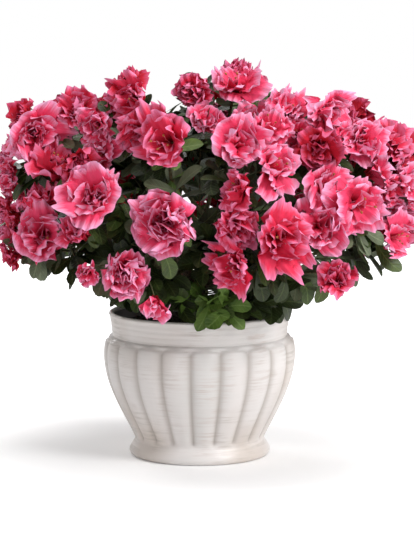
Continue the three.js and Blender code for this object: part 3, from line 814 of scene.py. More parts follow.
# the range that each petal of a blossom draws from: shares of its form's value, waves and crimps across
# its width, degrees, and a twist in radians
PETAL_RANGES = dict(
    length=(0.8, 1.16), width=(0.82, 1.18), waves=(0.9, 1.8), crimps=(0.19, 0.24), lean=(-6, 6),
    open=(-42, 18), twist=(-0.45, 0.45), frill=(0.8, 1.7), cup=(0.5, 1.4))
# how unevenly petals stand round the axis, how much longer one side of a blossom is, and the range of
# the petals' own stretch
RING_TURN, LONG_SIDE, STRETCH = 0.24, 0.22, (-0.14, 0.1)

# how many petals each form has in each ring, how far it is open and whether its stamens show
BLOSSOM_FORMS = [
    dict(rings=(5, 5, 4, 3), opening=1.0, stamens=0),
    dict(rings=(5, 4, 5, 2), opening=0.92, stamens=1),
    dict(rings=(5, 5, 3, 4), opening=1.05, stamens=0),
    dict(rings=(6, 4, 3, 1), opening=1.02, stamens=2),
    dict(rings=(5, 4, 3, 2), opening=0.88, stamens=1),
    dict(rings=(5, 3, 2, 1), opening=1.06, stamens=3),
    dict(rings=(5, 3, 1, 1), opening=0.98, stamens=4),
    dict(rings=(5, 6, 6, 4), opening=0.98, stamens=0, ruffled=1.5),
    dict(rings=(5, 2, 0, 0), opening=0.86, stamens=5),
    dict(rings=(4, 2, 1, 0), opening=0.5, stamens=1),
]
FULL, SINGLE, HALF_OPEN = 7, 8, 9   # the forms with a place of their own
COMMON = (0, 1, 2, 3, 4, 5, 6, 7)
# the leading blossoms with a form, a size and a tint of their own, and how much less they nod
CHOSEN = dict(
    right_tip=dict(form=SINGLE, size=0.86, tint=0), low_face=dict(form=FULL, size=1.26, tint=0))
CHOSEN_NOD = 0.25
# the common forms again with fewer faces, for the back of the crown
BACK = len(BLOSSOM_FORMS)
BLOSSOM_FORMS += [dict(BLOSSOM_FORMS[i], fineness=0.7) for i in COMMON]


def petal(form, opening, draw):
    """Places and flat map of one petal, its foot on the axis, in radii of its blossom."""
    def drawn(key):
        return draw.uniform(*PETAL_RANGES[key])

    along = np.linspace(0, 1, form["rows"])[:, None] ** 0.8
    across = np.linspace(-1, 1, form["columns"])[None, :]
    edge = np.abs(across)
    length = form["length"] * drawn("length")
    waves, crimps = drawn("waves"), form["columns"] * drawn("crimps")
    phase, late = draw.uniform(0, 2 * np.pi, 2)
    wave = np.sin(waves * np.pi * across + phase)
    crimp = np.sin(crimps * np.pi * across + late)
    # the outline: widest beyond the middle, its end rounded, notched and ragged
    widening = 0.2 + 0.8 * smooth(along / 0.7)
    narrowing = 1 - 0.07 * np.clip((along - 0.7) / 0.3, 0, 1) ** 2
    half = 0.5 * form["width"] * drawn("width") * widening * narrowing
    rounding = 1 - (0.3 * edge ** 2.6 + 0.05 * np.exp(-(across / 0.25) ** 2)) * along**2
    reach = length * (along * rounding + (0.03 * wave + 0.014 * crimp) * along**5)
    # the arc from the foot outwards
    lean = math.radians(form["lean"] + drawn("lean"))
    spread = math.radians((form["open"] + drawn("open")) * opening) - lean
    bend = lean + spread * reach / length
    radial = 0.03 + length / spread * (math.cos(lean) - np.cos(bend))
    height = PETAL_BASE + length / spread * (np.sin(bend) - math.sin(lean))
    # cup, waves, crimps, a roll of the edges and a twist lift the petal off that arc
    twist = drawn("twist") * along**1.5
    frill = form["ruffle"] * length * drawn("frill")
    lift = half * form["cup"] * drawn("cup") * across**2 * 2
    lift = lift + frill * along**1.8 * (0.46 + 0.22 * edge) * wave
    lift = lift + 0.36 * frill * along**2.5 * crimp
    lift = lift + 0.5 * frill * edge**2 * np.sin(9 * along + late + across * 2)
    lift = lift + half * across * np.sin(twist)
    sideways = half * across * np.cos(twist)
    radial = radial - np.cos(bend) * lift
    height = height + np.sin(bend) * lift
    places = np.stack(np.broadcast_arrays(radial, sideways, height), -1)
    flat = np.stack(np.broadcast_arrays(0.5 + across * 0.48, 0.01 + along * 0.98), -1)
    return places.reshape(-1, 3), flat.reshape(-1, 2)


def turned_about_axis(places, angle):
    cos, sin = math.cos(angle), math.sin(angle)
    x, y, z = places.T
    return np.stack((x * cos - y * sin, x * sin + y * cos, z), -1)


def blossom_petals(form, seed):
    """A whole blossom's petals of radius 1 mm, ring by ring, as one mesh."""
    draw = np.random.default_rng(seed)
    long_side = draw.uniform(0, 2 * np.pi)
    fineness = form.get("fineness", 1)
    places, flats, faces, first = [], [], [], 0
    for ring, (count, petals) in enumerate(zip(form["rings"], PETALS)):
        start = draw.uniform(0, 2 * np.pi)
        petals = dict(petals, **{key: round(petals[key] * fineness) for key in ("rows", "columns")})
        petals["ruffle"] *= form.get("ruffled", 1)
        for i in range(count):
            made, flat = petal(petals, form["opening"], draw)
            jitter = draw.uniform(-RING_TURN, RING_TURN) * (1 + ring)
            turn = start + 2 * np.pi * i / count + jitter
            made[:, 0] *= 1 + LONG_SIDE * math.cos(turn - long_side) + draw.uniform(*STRETCH)
            places.append(turned_about_axis(made, turn))
            flats.append(flat)
            faces += sheet_faces(petals["rows"], petals["columns"], first)
            first += len(made)
    return mesh_from("petals", np.concatenate(places), faces, np.concatenate(flats))


def tube(path, radii, sides=3):
    """Places and faces of a thin closed tube along a path."""
    places = []
    for i, (point, radius) in enumerate(zip(path, radii)):
        ahead = path[min(i + 1, len(path) - 1)] - path[max(i - 1, 0)]
        across, upright = frame_along(ahead.normalized())
        for k in range(sides):
            turn = 2 * math.pi * k / sides
            places.append(point + (across * math.cos(turn) + upright * math.sin(turn)) * radius)
    last = (len(path) - 1) * sides
    ends = [tuple(range(sides))[::-1], tuple(range(last, last + sides))]
    return places, band_faces(len(path), sides) + ends


# in blossom radii: the filament's radii from its foot up, and the anther's and its half length
FILAMENT, ANTHER, ANTHER_HALF = (0.02, 0.016, 0.014, 0.012), (0.02, 0.045, 0.02), 0.05


def stamen_parts(form, seed):
    """The filaments and the anthers of a blossom, as two meshes of radius 1 mm."""
    draw = np.random.default_rng(seed + 50)
    parts = {"filaments": ([], []), "anthers": ([], [])}

    def add(kind, places, faces):
        made, shapes = parts[kind]
        shapes += [tuple(len(made) + k for k in face) for face in faces]
        made += places

    for i in range(form["stamens"]):
        angle = 2 * math.pi * (i + draw.uniform(-0.3, 0.3)) / form["stamens"]
        side = Vector((math.cos(angle), math.sin(angle), 0))
        reach = draw.uniform(0.72, 1.0)
        foot = Vector((0, 0, PETAL_BASE))
        tip = foot + side * 0.26 * reach + Vector((0, 0, reach))
        path = Bend(foot, foot + Vector((0, 0, reach * 0.6)), tip).places(4)
        add("filaments", *tube(path, FILAMENT))
        ahead = (tip - path[-2]).normalized() * ANTHER_HALF
        add("anthers", *tube([tip - ahead, tip, tip + ahead], ANTHER, 4))
    return {
        kind: mesh_from(kind, [tuple(p) for p in made], shapes)
        for kind, (made, shapes) in parts.items()
    }


# half width at shares of the length, and how far the blade folds, droops and curls
LEAF_OUTLINE = [
    (0, 0.03), (0.1, 0.06), (0.3, 0.15), (0.52, 0.225), (0.72, 0.25), (0.88, 0.19), (0.97, 0.09),
    (1, 0.02),
]
LEAF_ACROSS = (-1, -0.55, 0, 0.55, 1)
LEAF_FORMS = [
    dict(fold=0.25, droop=0.22, curl=0.0, width=1.0),
    dict(fold=0.12, droop=0.34, curl=0.08, width=1.12),
    dict(fold=0.35, droop=0.12, curl=-0.06, width=0.88),
    dict(fold=0.18, droop=0.05, curl=0.04, width=1.05),
    dict(fold=0.05, droop=-0.1, curl=-0.1, width=1.0),
]


def leaf_mesh(form):
    """A leaf 1 mm long along +X with its top up: two halves folded on the midrib."""
    places, flat = [], []
    for share, half in LEAF_OUTLINE:
        drop = -form["droop"] * share * share
        side = form["curl"] * math.sin(math.pi * share)
        for across in LEAF_ACROSS:
            y = half * form["width"] * across
            places.append((share, y + side, drop + form["fold"] * abs(y)))
            flat.append((0.5 + 0.48 * across, 0.01 + 0.98 * share))
    return mesh_from("leaf", places, sheet_faces(len(LEAF_OUTLINE), len(LEAF_ACROSS)), flat)


def form_collection(name, meshes):
    """An unlinked collection of forms, which the scatter tree picks by number."""
    collection = bpy.data.collections.new(name)
    for i, mesh in enumerate(meshes):
        new_object(f"{name}_{i:02d}", mesh, collection)
    return collection


# ---------- Blossoms, leaves and twigs set out on the plant ----------


def blossom_spot(place, facing, spin, size, form, tint):
    """A place for a blossom, its +Z the way it faces, spun about that."""
    turn = facing.to_track_quat("Z", "Y") @ Quaternion((0, 0, 1), spin)
    return dict(place=place, turn=tuple(turn.to_euler()), size=size, form=form, tint=tint)


def leaf_spot(place, along, upright, spin, size, form, tint):
    """A place for a leaf, its +X along a direction and its top upright, rolled by spin."""
    side = upright.cross(along).normalized()
    axes = Matrix((along, side, along.cross(side))).transposed()
    turn = axes.to_quaternion() @ Quaternion((1, 0, 0), spin)
    return dict(place=place, turn=tuple(turn.to_euler()), size=size, form=form, tint=tint)


def set_out(name, spots, forms, finish, tree):
    """The piece that has one form at each spot."""
    mesh = bpy.data.meshes.new(name)
    mesh.from_pydata([tuple(s["place"] * MM) for s in spots], [], [])
    for label, kind in (("turn", "FLOAT_VECTOR"), ("size", "FLOAT"), ("form", "INT")):
        hold(mesh, label, [s[label] for s in spots], kind)
    return grown(name, mesh, tree, Pieces=forms, Finish=finish)


def make_tints(tints, finish_of, spots, forms, tree, nodes):
    """One piece for each tint of the petals or of the leaves."""
    for tint, (name, *colours) in enumerate(tints):
        own = [spot for spot in spots if spot["tint"] == tint]
        handed_in(set_out(name, own, forms, finish_of(name, *colours), tree), nodes)


class Thicket:
    """All that grows on the masses: the lines of the twigs, and spots for blossoms and leaves."""

    def __init__(self, masses):
        self.draw = np.random.default_rng(SEED)
        self.masses = masses
        self.lines = []          # (points, radii)
        self.blossoms, self.leaves = [], []
        self.faces = {mass["row"]["name"]: (mass["row"], lead_of(mass["row"])) for mass in masses}
        self.blooms = [
            (middle_of(shoot["tip"], shoot["facing"], shoot["radius"]), shoot["radius"])
            for mass in masses for shoot in mass["shoots"] if shoot["radius"]
        ]

    def add_line(self, curve, limb, count):
        """A tapered limb along a curve, as a line of so many points."""
        radii = [
            between(limb["base_radius"], limb["tip_radius"], i / (count - 1)) for i in range(count)]
        self.lines.append((curve.places(count), radii))

    def clear_of_blooms(self, tip):
        """How far a blossom's tip is from the nearest other blossom, which it may overlap a little."""
        return min((tip - middle).length - CORE * radius for middle, radius in self.blooms)

    def leaf_fits(self, owner, end, free):
        """Whether a leaf's tip has room. The leaf of a free twig may leave its mass's space."""
        above = end.z > self.faces[owner][1].z + LEAF["past_top"]
        if not free and (above or room_at(owner, end) < ROOM["leaf"] or self.stands_out(owner, end)):
            return False
        past_edge = not CROWN_EDGE[0] < end.x < CROWN_EDGE[1]
        return not (past_edge or hangs_low(owner, end) or in_cleft(end, 0) or any(
            (end - middle).length < LEAF["off_bloom"] * radius for middle, radius in self.blooms))

    def stands_out(self, owner, point):
        """Whether a leaf's tip would stand out past the blossoms' face of its mass."""
        row, lead = self.faces[owner]
        out = facing_at(lead)
        run = point - lead
        depth = run.dot(out)
        away = (run - out * depth).length
        limit = LEAF["below_face"] if row["height"] > LEAF["high"] else 0
        return depth > -away * away / (2 * MOUND) - limit or away > row["spread"] + LEAF["past_ring"]

    def add_leaf(self, owner, foot, direction, length, tint, free):
        """A leaf where it fits, its top turned up and outwards."""
        draw = self.draw
        if not self.leaf_fits(owner, foot + direction * length, free):
            return
        upright = Vector((0, 0, 1)) + facing_at(foot) * LEAF["outward"]
        upright += Vector(draw.uniform(-LEAF["sway"], LEAF["sway"], 3))
        upright -= direction * upright.dot(direction)
        form = int(draw.integers(len(LEAF_FORMS)))
        roll = draw.uniform(-LEAF["roll"], LEAF["roll"])
        self.leaves.append(leaf_spot(foot, direction, upright.normalized(), roll, length, form, tint))

    def add_whorl(self, owner, twig, whorl, tint, free=False):
        """The leaves of one whorl that fit round a twig."""
        draw = self.draw
        share, count, forward = whorl
        along = twig.tangent(share)
        across, upright = frame_along(along)
        first = draw.uniform(0, 2 * math.pi)
        for i in range(count):
            angle = first + 2 * math.pi * i / count + draw.uniform(-0.3, 0.3)
            direction = across * math.cos(angle) + upright * math.sin(angle)
            direction += along * (forward + draw.uniform(-0.2, 0.25))
            direction.z -= LEAF["hang"] * draw.uniform(0.2, 1.2)
            length = LEAF["length"] + LEAF["range"] * draw.uniform(-0.35, 1)
            length += LEAF["large"] if owner in LARGE_LEAVED else 0
            self.add_leaf(owner, twig.at(share), direction.normalized(), length, tint, free)

    def tint_for(self, owner):
        kind = "basal" if owner.startswith("basal") else "large" if owner in LARGE_LEAVED else "crown"
        return int(self.draw.choice(4, p=TINT_CHANCES[kind]))

    def add_blossom(self, owner, shoot, lead):
        """The blossom of a shoot, and the smaller ones beside it where its mass has any."""
        draw = self.draw
        tip = shoot["tip"]
        form = int(draw.choice(COMMON))
        size = shoot["radius"] * draw.uniform(0.94, 1.08) * BLOSSOM_SIZES.get(owner, 1)
        size = max(YOUNGEST, min(size, CROWN_EDGE[1] - tip.x, tip.x - CROWN_EDGE[0]))
        nod = Vector(draw.uniform(-NOD, NOD, 3))
        chosen = CHOSEN.get(owner) if lead else None
        if chosen:
            form, size, nod = chosen["form"], shoot["radius"] * chosen["size"], nod * CHOSEN_NOD
        facing = (shoot["facing"] + nod).normalized()
        form += BACK if tip.y > 0 and form in COMMON and form != FULL else 0
        # blossoms that face right, up and forward, towards the key light, mostly take the paler tint,
        # painted light, and those turned away the deeper tint, painted shade; a random spread mixes
        # them
        lit = facing.dot(Vector((0.55, -0.5, 0.67)))
        tint = int(np.clip(round(1.22 - 1.3 * lit + draw.normal(0, 0.55)), 0, 2))
        tint = chosen["tint"] if chosen else tint
        self.blossoms.append(blossom_spot(tip, facing, draw.uniform(0, ANY_TURN), size, form, tint))
        if owner not in TRUSS["lonely"]:
            self.add_truss(owner, shoot, tint)

    def add_truss(self, owner, shoot, tint):
        """Up to two smaller blossoms of the same truss, half behind the first one."""
        draw = self.draw
        out = shoot["facing"]
        across, upright = frame_along(out)
        calyx = calyx_of(shoot["tip"], out, shoot["radius"])
        start = draw.uniform(0, 2 * math.pi)
        for i in range(TRUSS["tries"]):
            angle = start + 2 * math.pi * i / TRUSS["tries"] + draw.uniform(-0.4, 0.4)
            side = across * math.cos(angle) + upright * math.sin(angle)
            radius = draw.uniform(*TRUSS["radius"])
            away = shoot["radius"] * draw.uniform(*TRUSS["away"])
            tip = shoot["tip"] + side * away - out * draw.uniform(*TRUSS["sink"])
            if (room_at(owner, tip) < TRUSS["room"] or tip.z < TRUSS["lowest"]
                    or in_cleft(tip, radius) or self.clear_of_blooms(tip) < TRUSS["apart"]):
                continue
            facing = (out + side * draw.uniform(*TRUSS["outward"])).normalized()
            self.blooms.append((middle_of(tip, facing, radius), radius))
            self.add_line(Bend(calyx - out * 8, calyx, calyx_of(tip, facing, radius)), PEDICEL, 5)
            form = int(draw.choice(COMMON)) + (BACK if tip.y > 0 else 0)
            # by chance a tint deeper: painted shade for a blossom half behind the first
            self.blossoms.append(blossom_spot(
                tip, facing, draw.uniform(0, ANY_TURN), radius, form,
                min(2, tint + int(draw.random() < TRUSS["deeper"]))))

    def grow_mass(self, mass):
        """Stem, twigs, blossoms and leaves of one mass."""
        owner, stem, leafy = mass["row"]["name"], mass["stem"], mass["leafy"]
        self.add_line(Bend(mass["foot"], *stem.points), STEM, 14)
        for i, shoot in enumerate(mass["shoots"]):
            calyx = calyx_of(shoot["tip"], shoot["facing"], shoot["radius"])
            twig = stem
            if i:
                root = stem.at(shoot["share"])
                twig = Bend(root, root.lerp(calyx, 0.55) + stem.tangent(shoot["share"]) * 3, calyx)
            tint = self.tint_for(owner)
            before = len(self.leaves)
            if shoot["radius"]:
                self.add_blossom(owner, shoot, i == 0)
            first, *others = WHORLS["blossom" if shoot["radius"] else "spray"]
            self.add_whorl(owner, twig, first, tint)
            grows = shoot["radius"] or len(self.leaves) > before
            for whorl in others if grows else ():
                self.add_whorl(owner, twig, whorl, tint)
            if i and grows:
                self.add_line(twig, TWIG, 7)
        self.fill_mass(mass, FINE["basal_twigs" if leafy else "twigs"])

    def fill_mass(self, mass, count):
        """Fine leafy twigs between and below the blossoms, where the mass's space has room."""
        draw = self.draw
        owner, row, stem = mass["row"]["name"], mass["row"], mass["stem"]
        lead, out = mass["shoots"][0]["tip"], mass["shoots"][0]["facing"]
        for _ in range(count):
            angle, share = draw.uniform(0, 2 * math.pi), draw.uniform(0.25, 0.95)
            away = row["spread"] * FINE["spread"] * math.sqrt(draw.uniform(0.02, 1))
            sink = between(*FINE["sink"], draw.random() ** 1.5)
            tip, _ = on_mound(lead, out, angle, away, sink)
            lowest = tip - Vector((0, 0, FINE["clear"]))
            if room_at(owner, tip) < FINE["room"] or hangs_low(owner, lowest):
                continue
            root = stem.at(share)
            twig = Bend(root, root.lerp(tip, 0.5) + stem.tangent(share) * 4, tip)
            tint = self.tint_for(owner)
            before = len(self.leaves)
            first, *others = WHORLS["fine"]
            self.add_whorl(owner, twig, first, tint)
            if len(self.leaves) > before + 1:
                self.add_line(twig, FINE_TWIG, 5)
                for whorl in others:
                    self.add_whorl(owner, twig, whorl, tint)

    def close_crown(self):
        """Blossoms on fine twigs wherever the top and the back of the crown are still open."""
        draw = np.random.default_rng(SEED + 1)
        for mass in self.masses:
            owner, row, root = mass["row"]["name"], mass["row"], mass["stem"].at(0.8)
            lead, out = mass["shoots"][0]["tip"], mass["shoots"][0]["facing"]
            for _ in range(0 if mass["leafy"] else CLOSING["tries"]):
                angle, radius = draw.uniform(0, 2 * math.pi), draw.uniform(*CLOSING["radius"])
                away = row["spread"] * CLOSING["spread"] * math.sqrt(draw.uniform(0.02, 1))
                tip, _ = on_mound(lead, out, angle, away, draw.uniform(*CLOSING["sink"]))
                top = CLOSING["top"] - CLOSING["flat"] * tip.x**2 - CLOSING["tilt"] * tip.y
                if (tip.y < CLOSING["behind"] or tip.z < CLOSING["lowest"] or in_cleft(tip, radius)
                        or tip.z + CLOSING["reach_up"] * radius > top
                        or room_at(owner, tip) < CLOSING["room"]
                        or self.clear_of_blooms(tip) < CLOSING["apart"]):
                    continue
                facing = facing_at(tip) + Vector((0, 0, CLOSING["up"]))
                facing = (facing + Vector(draw.uniform(-0.3, 0.3, 3))).normalized()
                self.blooms.append((middle_of(tip, facing, radius), radius))
                calyx = calyx_of(tip, facing, radius)
                self.add_line(Bend(root, root.lerp(calyx, 0.6) - out * 4, calyx), PEDICEL, 5)
                self.blossoms.append(blossom_spot(
                    tip, facing, draw.uniform(0, ANY_TURN), radius, BACK + int(draw.choice(COMMON)),
                    int(draw.integers(3))))

    def add_placed_twigs(self):
        """Leafy twigs over the rim, low in front and under the top, each at its own place."""
        for bearing, reach, height, tint in RIM_TWIGS + FRONT_TWIGS + TOP_TWIGS:
            tip = crown_point(bearing, reach, height)
            owner = min(
                (mass for mass in self.masses if mass["leafy"]),
                key=lambda mass: (mass["shoots"][0]["tip"] - tip).length)["row"]["name"]
            root = Vector((0, 0, min(tip.z - 6, TRUNK_TOP.z)))
            twig = Bend(root, root.lerp(tip, 0.6) + Vector((0, 0, 9)), tip)
            self.add_line(twig, FINE_TWIG, 6)
            for whorl in WHORLS["placed"]:
                self.add_whorl(owner, twig, whorl, tint, free=True)

    def add_late_blossoms(self):
        """Half-open blossoms on thin twigs that come from the nearest stem."""
        for bearing, reach, height, radius, nod in LATE_BLOSSOMS:
            tip = crown_point(bearing, reach, height)
            facing = (facing_at(tip) - Vector((0, 0, nod))).normalized()
            calyx = calyx_of(tip, facing, radius)
            near = min(self.masses, key=lambda mass: (mass["stem"].at(0.7) - tip).length)
            root = near["stem"].at(0.7)
            twig = Bend(root, root.lerp(calyx, 0.7) + Vector((0, 0, 12)), calyx)
            self.add_line(twig, FINE_TWIG, 7)
            self.blossoms.append(blossom_spot(
                tip, facing, self.draw.uniform(0, ANY_TURN), radius, HALF_OPEN, 0))
            for whorl in WHORLS["late"]:
                self.add_whorl(near["row"]["name"], twig, whorl, 1)


def line_mesh(name, lines):
    """The plan of some limbs: lines in metres whose points hold the limb's girth there."""
    mesh = bpy.data.meshes.new(name)
    places, edges, radii = [], [], []
    for points, widths in lines:
        edges += [(len(places) + i, len(places) + i + 1) for i in range(len(points) - 1)]
        places += [tuple(p * MM) for p in points]
        radii += [w * MM for w in widths]
    mesh.from_pydata(places, edges, [])
    hold(mesh, "girth", radii)
    return mesh


# ---------- Pot, soil, trunk and boughs ----------

# how far the foot's moulding stands past the foot's radius, at its heights
FOOT = [(-4, 0), (-1.5, 0.4), (-0.3, 1.8), (0.6, 4), (0.3, 6.5), (-1.2, 9), (-2.6, 11.5), (-4.2, 13.6)]
POT_ROWS = dict(body=58, collar=26, lip=10)
THROWING = dict(height=0.14, pitch=5.6)   # faint rings on the collar
SEGMENTS_PER_LOBE = 14
SOIL_ROWS = dict(rings=26, segments=120)
LUMPS = [(1.8, 0.09), (0.9, 0.31)]   # height and grain of the soil's lumps
# (height, radius) up the trunk, from inside the soil
TRUNK_SHAPE = [
    (0, 18), (3, 17.4), (7, 14), (12, 11.2), (18, 10.5), (25, 10.8), (32, 12), (38, 11), (42, 7.5)]
TRUNK_SUNK = 4                   # how far the trunk starts below the soil's top
BOUGH_SWELL = 2.4                # how much thicker a bough is where it joins the trunk


def pot_profile():
    """(radius, height, side) up the pot's outline: foot, body, collar, lip and inner wall. The side is
    1 on the outside, 0 on the lip and -1 on the inside."""
    p = POT
    outline = [(p["foot_radius"] + past, z, 1) for past, z in FOOT]
    outline.append((p["waist_radius"] + 0.6, 15.4, 1))
    rows, steps = POT_ROWS["body"], POT_ROWS["collar"]
    for i in range(rows):
        z = between(p["waist_height"], p["collar_height"], i / (rows - 1))
        rise = (z - p["waist_height"]) / (p["belly_height"] - p["waist_height"])
        swell = math.sin(min(rise, 1) * math.pi / 2) ** 1.12
        radius = between(p["waist_radius"], p["belly_radius"], swell)
        if rise > 1:
            fall = (z - p["belly_height"]) / (p["collar_height"] + 3 - p["belly_height"])
            radius = between(p["collar_radius"] + 1, p["belly_radius"], math.sqrt(1 - fall**2))
        outline.append((radius, z, 1))
    for i in range(steps):
        share = (i + 1) / steps
        z = between(p["collar_height"], p["height"] - 3.2, share)
        flare = between(p["collar_radius"], p["rim_radius"] - 0.6, share**1.6)
        ring = THROWING["height"] * math.sin(2 * math.pi * z / THROWING["pitch"])
        outline.append((flare + ring, z, 1))
    middle, half = p["rim_radius"] - p["wall"] / 2, p["wall"] / 2
    for k in range(POT_ROWS["lip"] + 1):
        t = math.pi * k / POT_ROWS["lip"]
        outline.append((middle + half * math.cos(t), p["height"] - half + half * math.sin(t), 0))
    return outline + [
        (middle - half, p["height"] - 4.5, -1), (p["collar_radius"] - 6, p["collar_height"] + 6, -1)]


def make_pot(finish):
    """The fluted pot, open at the top, its hollow closed by a floor under the soil."""
    floor_height = SOIL["height"] - 8
    closed = [
        (0, 0, 1), *pot_profile(), (POT["collar_radius"] - 6.5, floor_height, -1),
        (0, floor_height, -1)]
    segments = POT["lobes"] * SEGMENTS_PER_LOBE
    mesh = mesh_from("pot", *lathed([(r, z) for r, z, _ in closed], segments))
    sides = [side for _, _, side in closed[1:-1] for _ in range(segments)] + [0, 0]
    # the inside holds the mask of the painted shade that darkens the inner wall
    for label, sign in (("outside", 1), ("inner_wall_shade", -1)):
        hold(mesh, label, [float(max(0, side * sign)) for side in sides])
    piece = grown(
        "fluted_pot", mesh, flute_tree(), Lobes=float(POT["lobes"]),
        First=math.radians(POT["first_groove"]), Depth=POT["groove_depth"] * MM,
        Waist=POT["waist_height"] * MM, Collar=(POT["collar_height"] - FLUTING["below_collar"]) * MM,
        Proud=FLUTING["proud"] * MM, Arch=FLUTING["arch"] * MM, Finish=finish)
    handed_in(piece, ["pot"])


def make_soil(finish):
    """Potting soil with a lumpy top, and loose crumbs on it."""
    radius, rings = POT["collar_radius"] - POT["wall"] - SOIL["clear"], SOIL_ROWS["rings"]
    base = SOIL["height"] - SOIL["depth"]
    profile = [(0, base), (radius - 1, base), (radius, base + 1)]
    for i in range(rings):
        share = 1 - (i + 1) / (rings + 1)
        profile.append((
            radius * share, SOIL["height"] + SOIL["crown"] * (1 - share) * SOIL["doming"]))
    profile.append((0, SOIL["height"] + SOIL["crown"] * SOIL["doming"]))
    places, faces = lathed(profile, SOIL_ROWS["segments"])
    lumpy = []
    for place in places:
        point = Vector(place)
        if point.z > base + 2:
            point.z += sum(height * noise.noise(point * grain) for height, grain in LUMPS)
        lumpy.append(tuple(point))
    piece = new_object("potting_soil", mesh_from("soil", lumpy, faces))
    piece.data.materials.append(finish)
    crumbs = grown(
        "soil_crumbs", piece.data.copy(), crumb_tree(), Density=CRUMBS["density"],
        Size=CRUMBS["size"] * MM, Seed=SEED, Finish=finish)
    for made in (piece, crumbs):
        handed_in(made, ["soil"])


def make_limbs(name, lines, tree, finish, nodes, sides, relief=2.4, grain=220.0):
    """Trunk, boughs or twigs: round limbs along lines, with the bark's relief."""
    piece = grown(
        name, line_mesh(name, lines), tree, Sides=sides, Relief=relief * MM, Grain=grain, Finish=finish)
    piece.data.shade_smooth()
    handed_in(piece, nodes)


def trunk_line():
    base, height = TRUNK["base"] - TRUNK_SUNK, TRUNK["height"]
    places = [Vector((-TRUNK["lean"] * z / height, 0, base + z)) for z, _ in TRUNK_SHAPE]
    return places, [radius for _, radius in TRUNK_SHAPE]


def bough_line(curve, count=18):
    base, tip = BOUGH["base_radius"] + BOUGH_SWELL, BOUGH["tip_radius"]
    radii = [between(base, tip, (i / (count - 1)) ** 0.6) for i in range(count)]
    return Bend(TRUNK_TOP, *curve.points).places(count), radii


# ---------- Floor, light and camera ----------

FLOOR = dict(reach=6000, level=-0.2)
# the floor's glow for the camera, painted light: at a near and a far distance in metres, its strength
# at each; the weak glow near the pot paints a shadow round its foot
GLOW = (0.1, 0.36, 0.1, 0.6)
SKY = (0.46, 1.0)                # the world's light on the plant, and as the camera sees it
LIGHTS = dict(                   # place, width and power
    key=((1.9, -1.4, 1.7), 1.2, 56), back=((-1.3, 2.3, 1.6), 1.2, 26),
    fill=((-1.2, -2.2, 1.2), 1.4, 4), top=((0.1, 0.05, 2.0), 0.8, 10))
LIT_PLACE = Vector((0, 0, 0.22))
CAMERA = dict(place=(7.6, -2300, 467), aim=(7.6, 0, 186), lens=145.4, sensor=36)


def place_aimed(name, data, place, aim):
    """An object at a place, its -Z towards the aim."""
    holder = new_object(name, data)
    holder.location = place
    holder.rotation_mode = "QUATERNION"
    holder.rotation_quaternion = (aim - place).to_track_quat("-Z", "Y")
    return holder


def make_studio():
    paper = Finish("pale_floor", Roughness=0.8, Emission_Color=(1, 1, 1, 1))
    seen = paper.add("ShaderNodeLightPath").outputs["Is Camera Ray"]
    place = paper.place()
    away = paper.add("ShaderNodeVectorMath", {0: place}, operation="LENGTH").outputs["Value"]
    # painted light: the floor glows for the camera only, dimmer near the pot as a painted shadow round
    # its foot
    paper.give("Emission Strength", paper.times(seen, paper.eased(away, *GLOW)))
    paper.give("Base Color", paper.ramp(paper.noise(place, 3.0), (0.3, 0.9), (0.7, 0.93)))
    reach, level = FLOOR["reach"], FLOOR["level"]
    corners = [(x * reach, y * reach, level) for x, y in ((-1, -1), (1, -1), (1, 1), (-1, 1))]
    floor = new_object("floor", mesh_from("floor", corners, [(0, 1, 2, 3)]))
    floor.data.materials.append(paper.material)
    world = bpy.data.worlds.new("studio")
    world.use_nodes = True
    sky = Nodes(world.node_tree)
    seen = sky.add("ShaderNodeLightPath").outputs["Is Camera Ray"]
    dark, bright = SKY
    shade = sky.add("ShaderNodeMapRange", {"Value": seen, "To Min": dark, "To Max": bright}).outputs[0]
    background = world.node_tree.nodes["Background"]
    background.inputs["Color"].default_value = (1, 1, 1, 1)
    world.node_tree.links.new(shade, background.inputs["Strength"])
    bpy.context.scene.world = world
    for name, (place, width, power) in LIGHTS.items():
        lamp = bpy.data.lights.new(name, "AREA")
        lamp.size, lamp.energy = width, power
        place_aimed(name, lamp, Vector(place), LIT_PLACE)
    bpy.context.scene.view_settings.view_transform = "Standard"


def make_camera():
    lens = bpy.data.cameras.new("camera")
    lens.lens, lens.sensor_width = CAMERA["lens"], CAMERA["sensor"]
    place, aim = (Vector(CAMERA[key]) * MM for key in ("place", "aim"))
    bpy.context.scene.camera = place_aimed("camera", lens, place, aim)


# ---------- Assembly ----------

make_camera()
make_studio()

boughs, masses = grown_plant()
thicket = Thicket(masses)
for mass in masses:
    thicket.grow_mass(mass)
thicket.add_late_blossoms()
thicket.close_crown()
thicket.add_placed_twigs()

make_pot(glaze())
make_soil(mottled(
    "potting_soil", 160.0, (
        (0.3, (0.012, 0.008, 0.006)), (0.55, (0.035, 0.023, 0.015)), (0.75, (0.09, 0.062, 0.04))),
    detail=5, relief=0.002, roughness=0.95))

flowering = ["mass_" + mass["row"]["name"] for mass in masses if not mass["leafy"]]
leafy = ["mass_" + mass["row"]["name"] for mass in masses if mass["leafy"]]

wood, young_bark = (
    mottled(name, 420.0, ((0.35, dark), (0.65, pale)), stretch=(1, 1, 0.3), detail=5,
            relief=0.0008, roughness=0.85)
    for name, dark, pale in (
        ("azalea_bark", (0.05, 0.032, 0.022), (0.2, 0.135, 0.09)),
        ("young_bark", (0.045, 0.05, 0.02), (0.13, 0.12, 0.05))))
limbs = limb_tree()
bough_lines = [bough_line(curve) for curve in boughs.values()]
make_limbs("trunk_bark", [trunk_line()], limbs, wood, ["trunk"], 40)
make_limbs("bough_bark", bough_lines, limbs, wood, ["bough_" + name for name in boughs], 14)
make_limbs("twigs", thicket.lines, limbs, young_bark, flowering + leafy, 5, relief=0.3, grain=600.0)

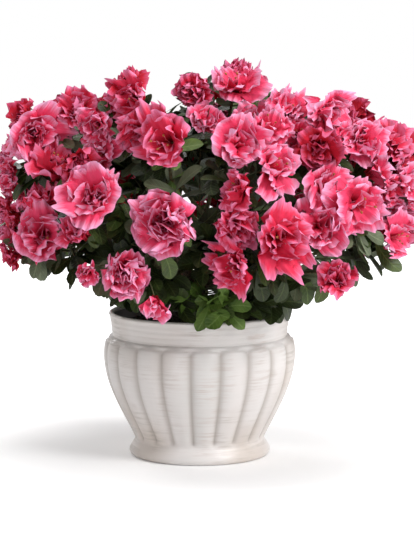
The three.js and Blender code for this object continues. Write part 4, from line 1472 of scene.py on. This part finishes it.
# three tints of the petals, each with throat, middle and margin: a paler copy as painted light, a
# middle one, and a deeper copy as painted shade
PETAL_TINTS = [
    ("petals_bright", (0.4, 0.003, 0.008), (0.86, 0.068, 0.17), (0.94, 0.43, 0.66)),
    ("petals_rose", (0.3, 0.002, 0.006), (0.75, 0.031, 0.088), (0.87, 0.26, 0.46)),
    ("petals_deep", (0.19, 0.001, 0.004), (0.56, 0.012, 0.035), (0.72, 0.12, 0.25)),
]
# four leaf tints, each with its deep, blade and rib colours and its roughness; the grey one is partly
# the paler green of leaf backs and partly painted sheen
LEAF_TINTS = [
    ("leaves_dark", (0.013, 0.021, 0.005), (0.032, 0.05, 0.01), (0.09, 0.13, 0.035), 0.34),
    ("leaves_green", (0.03, 0.052, 0.009), (0.065, 0.108, 0.018), (0.15, 0.22, 0.055), 0.38),
    ("leaves_grey", (0.08, 0.1, 0.05), (0.15, 0.18, 0.1), (0.24, 0.28, 0.16), 0.46),
    ("leaves_bright", (0.06, 0.12, 0.016), (0.14, 0.24, 0.04), (0.24, 0.36, 0.1), 0.4),
]
STAMEN_TINTS = [
    ("filaments", "pink_filament", (0.7, 0.12, 0.2), (0.85, 0.3, 0.35), 0.5),
    ("anthers", "ochre_anther", (0.25, 0.07, 0.02), (0.5, 0.2, 0.05), 0.7),
]
scatter = scatter_tree()

seeded_forms = [(form, SEED + i) for i, form in enumerate(BLOSSOM_FORMS)]
blossom_forms = form_collection("blossom", [blossom_petals(*seeded) for seeded in seeded_forms])
make_tints(
    PETAL_TINTS, petal_finish, thicket.blossoms, blossom_forms, scatter, flowering)

stamens = [stamen_parts(*seeded) for seeded in seeded_forms]
for kind, name, dark, pale, roughness in STAMEN_TINTS:
    forms = form_collection(kind, [parts[kind] for parts in stamens])
    finish = mottled(name, 300.0, ((0.35, dark), (0.65, pale)), roughness=roughness)
    handed_in(set_out(kind, thicket.blossoms, forms, finish, scatter), flowering)

leaf_forms = form_collection("leaf", [leaf_mesh(form) for form in LEAF_FORMS])
make_tints(LEAF_TINTS, leaf_finish, thicket.leaves, leaf_forms, scatter, leafy + flowering)
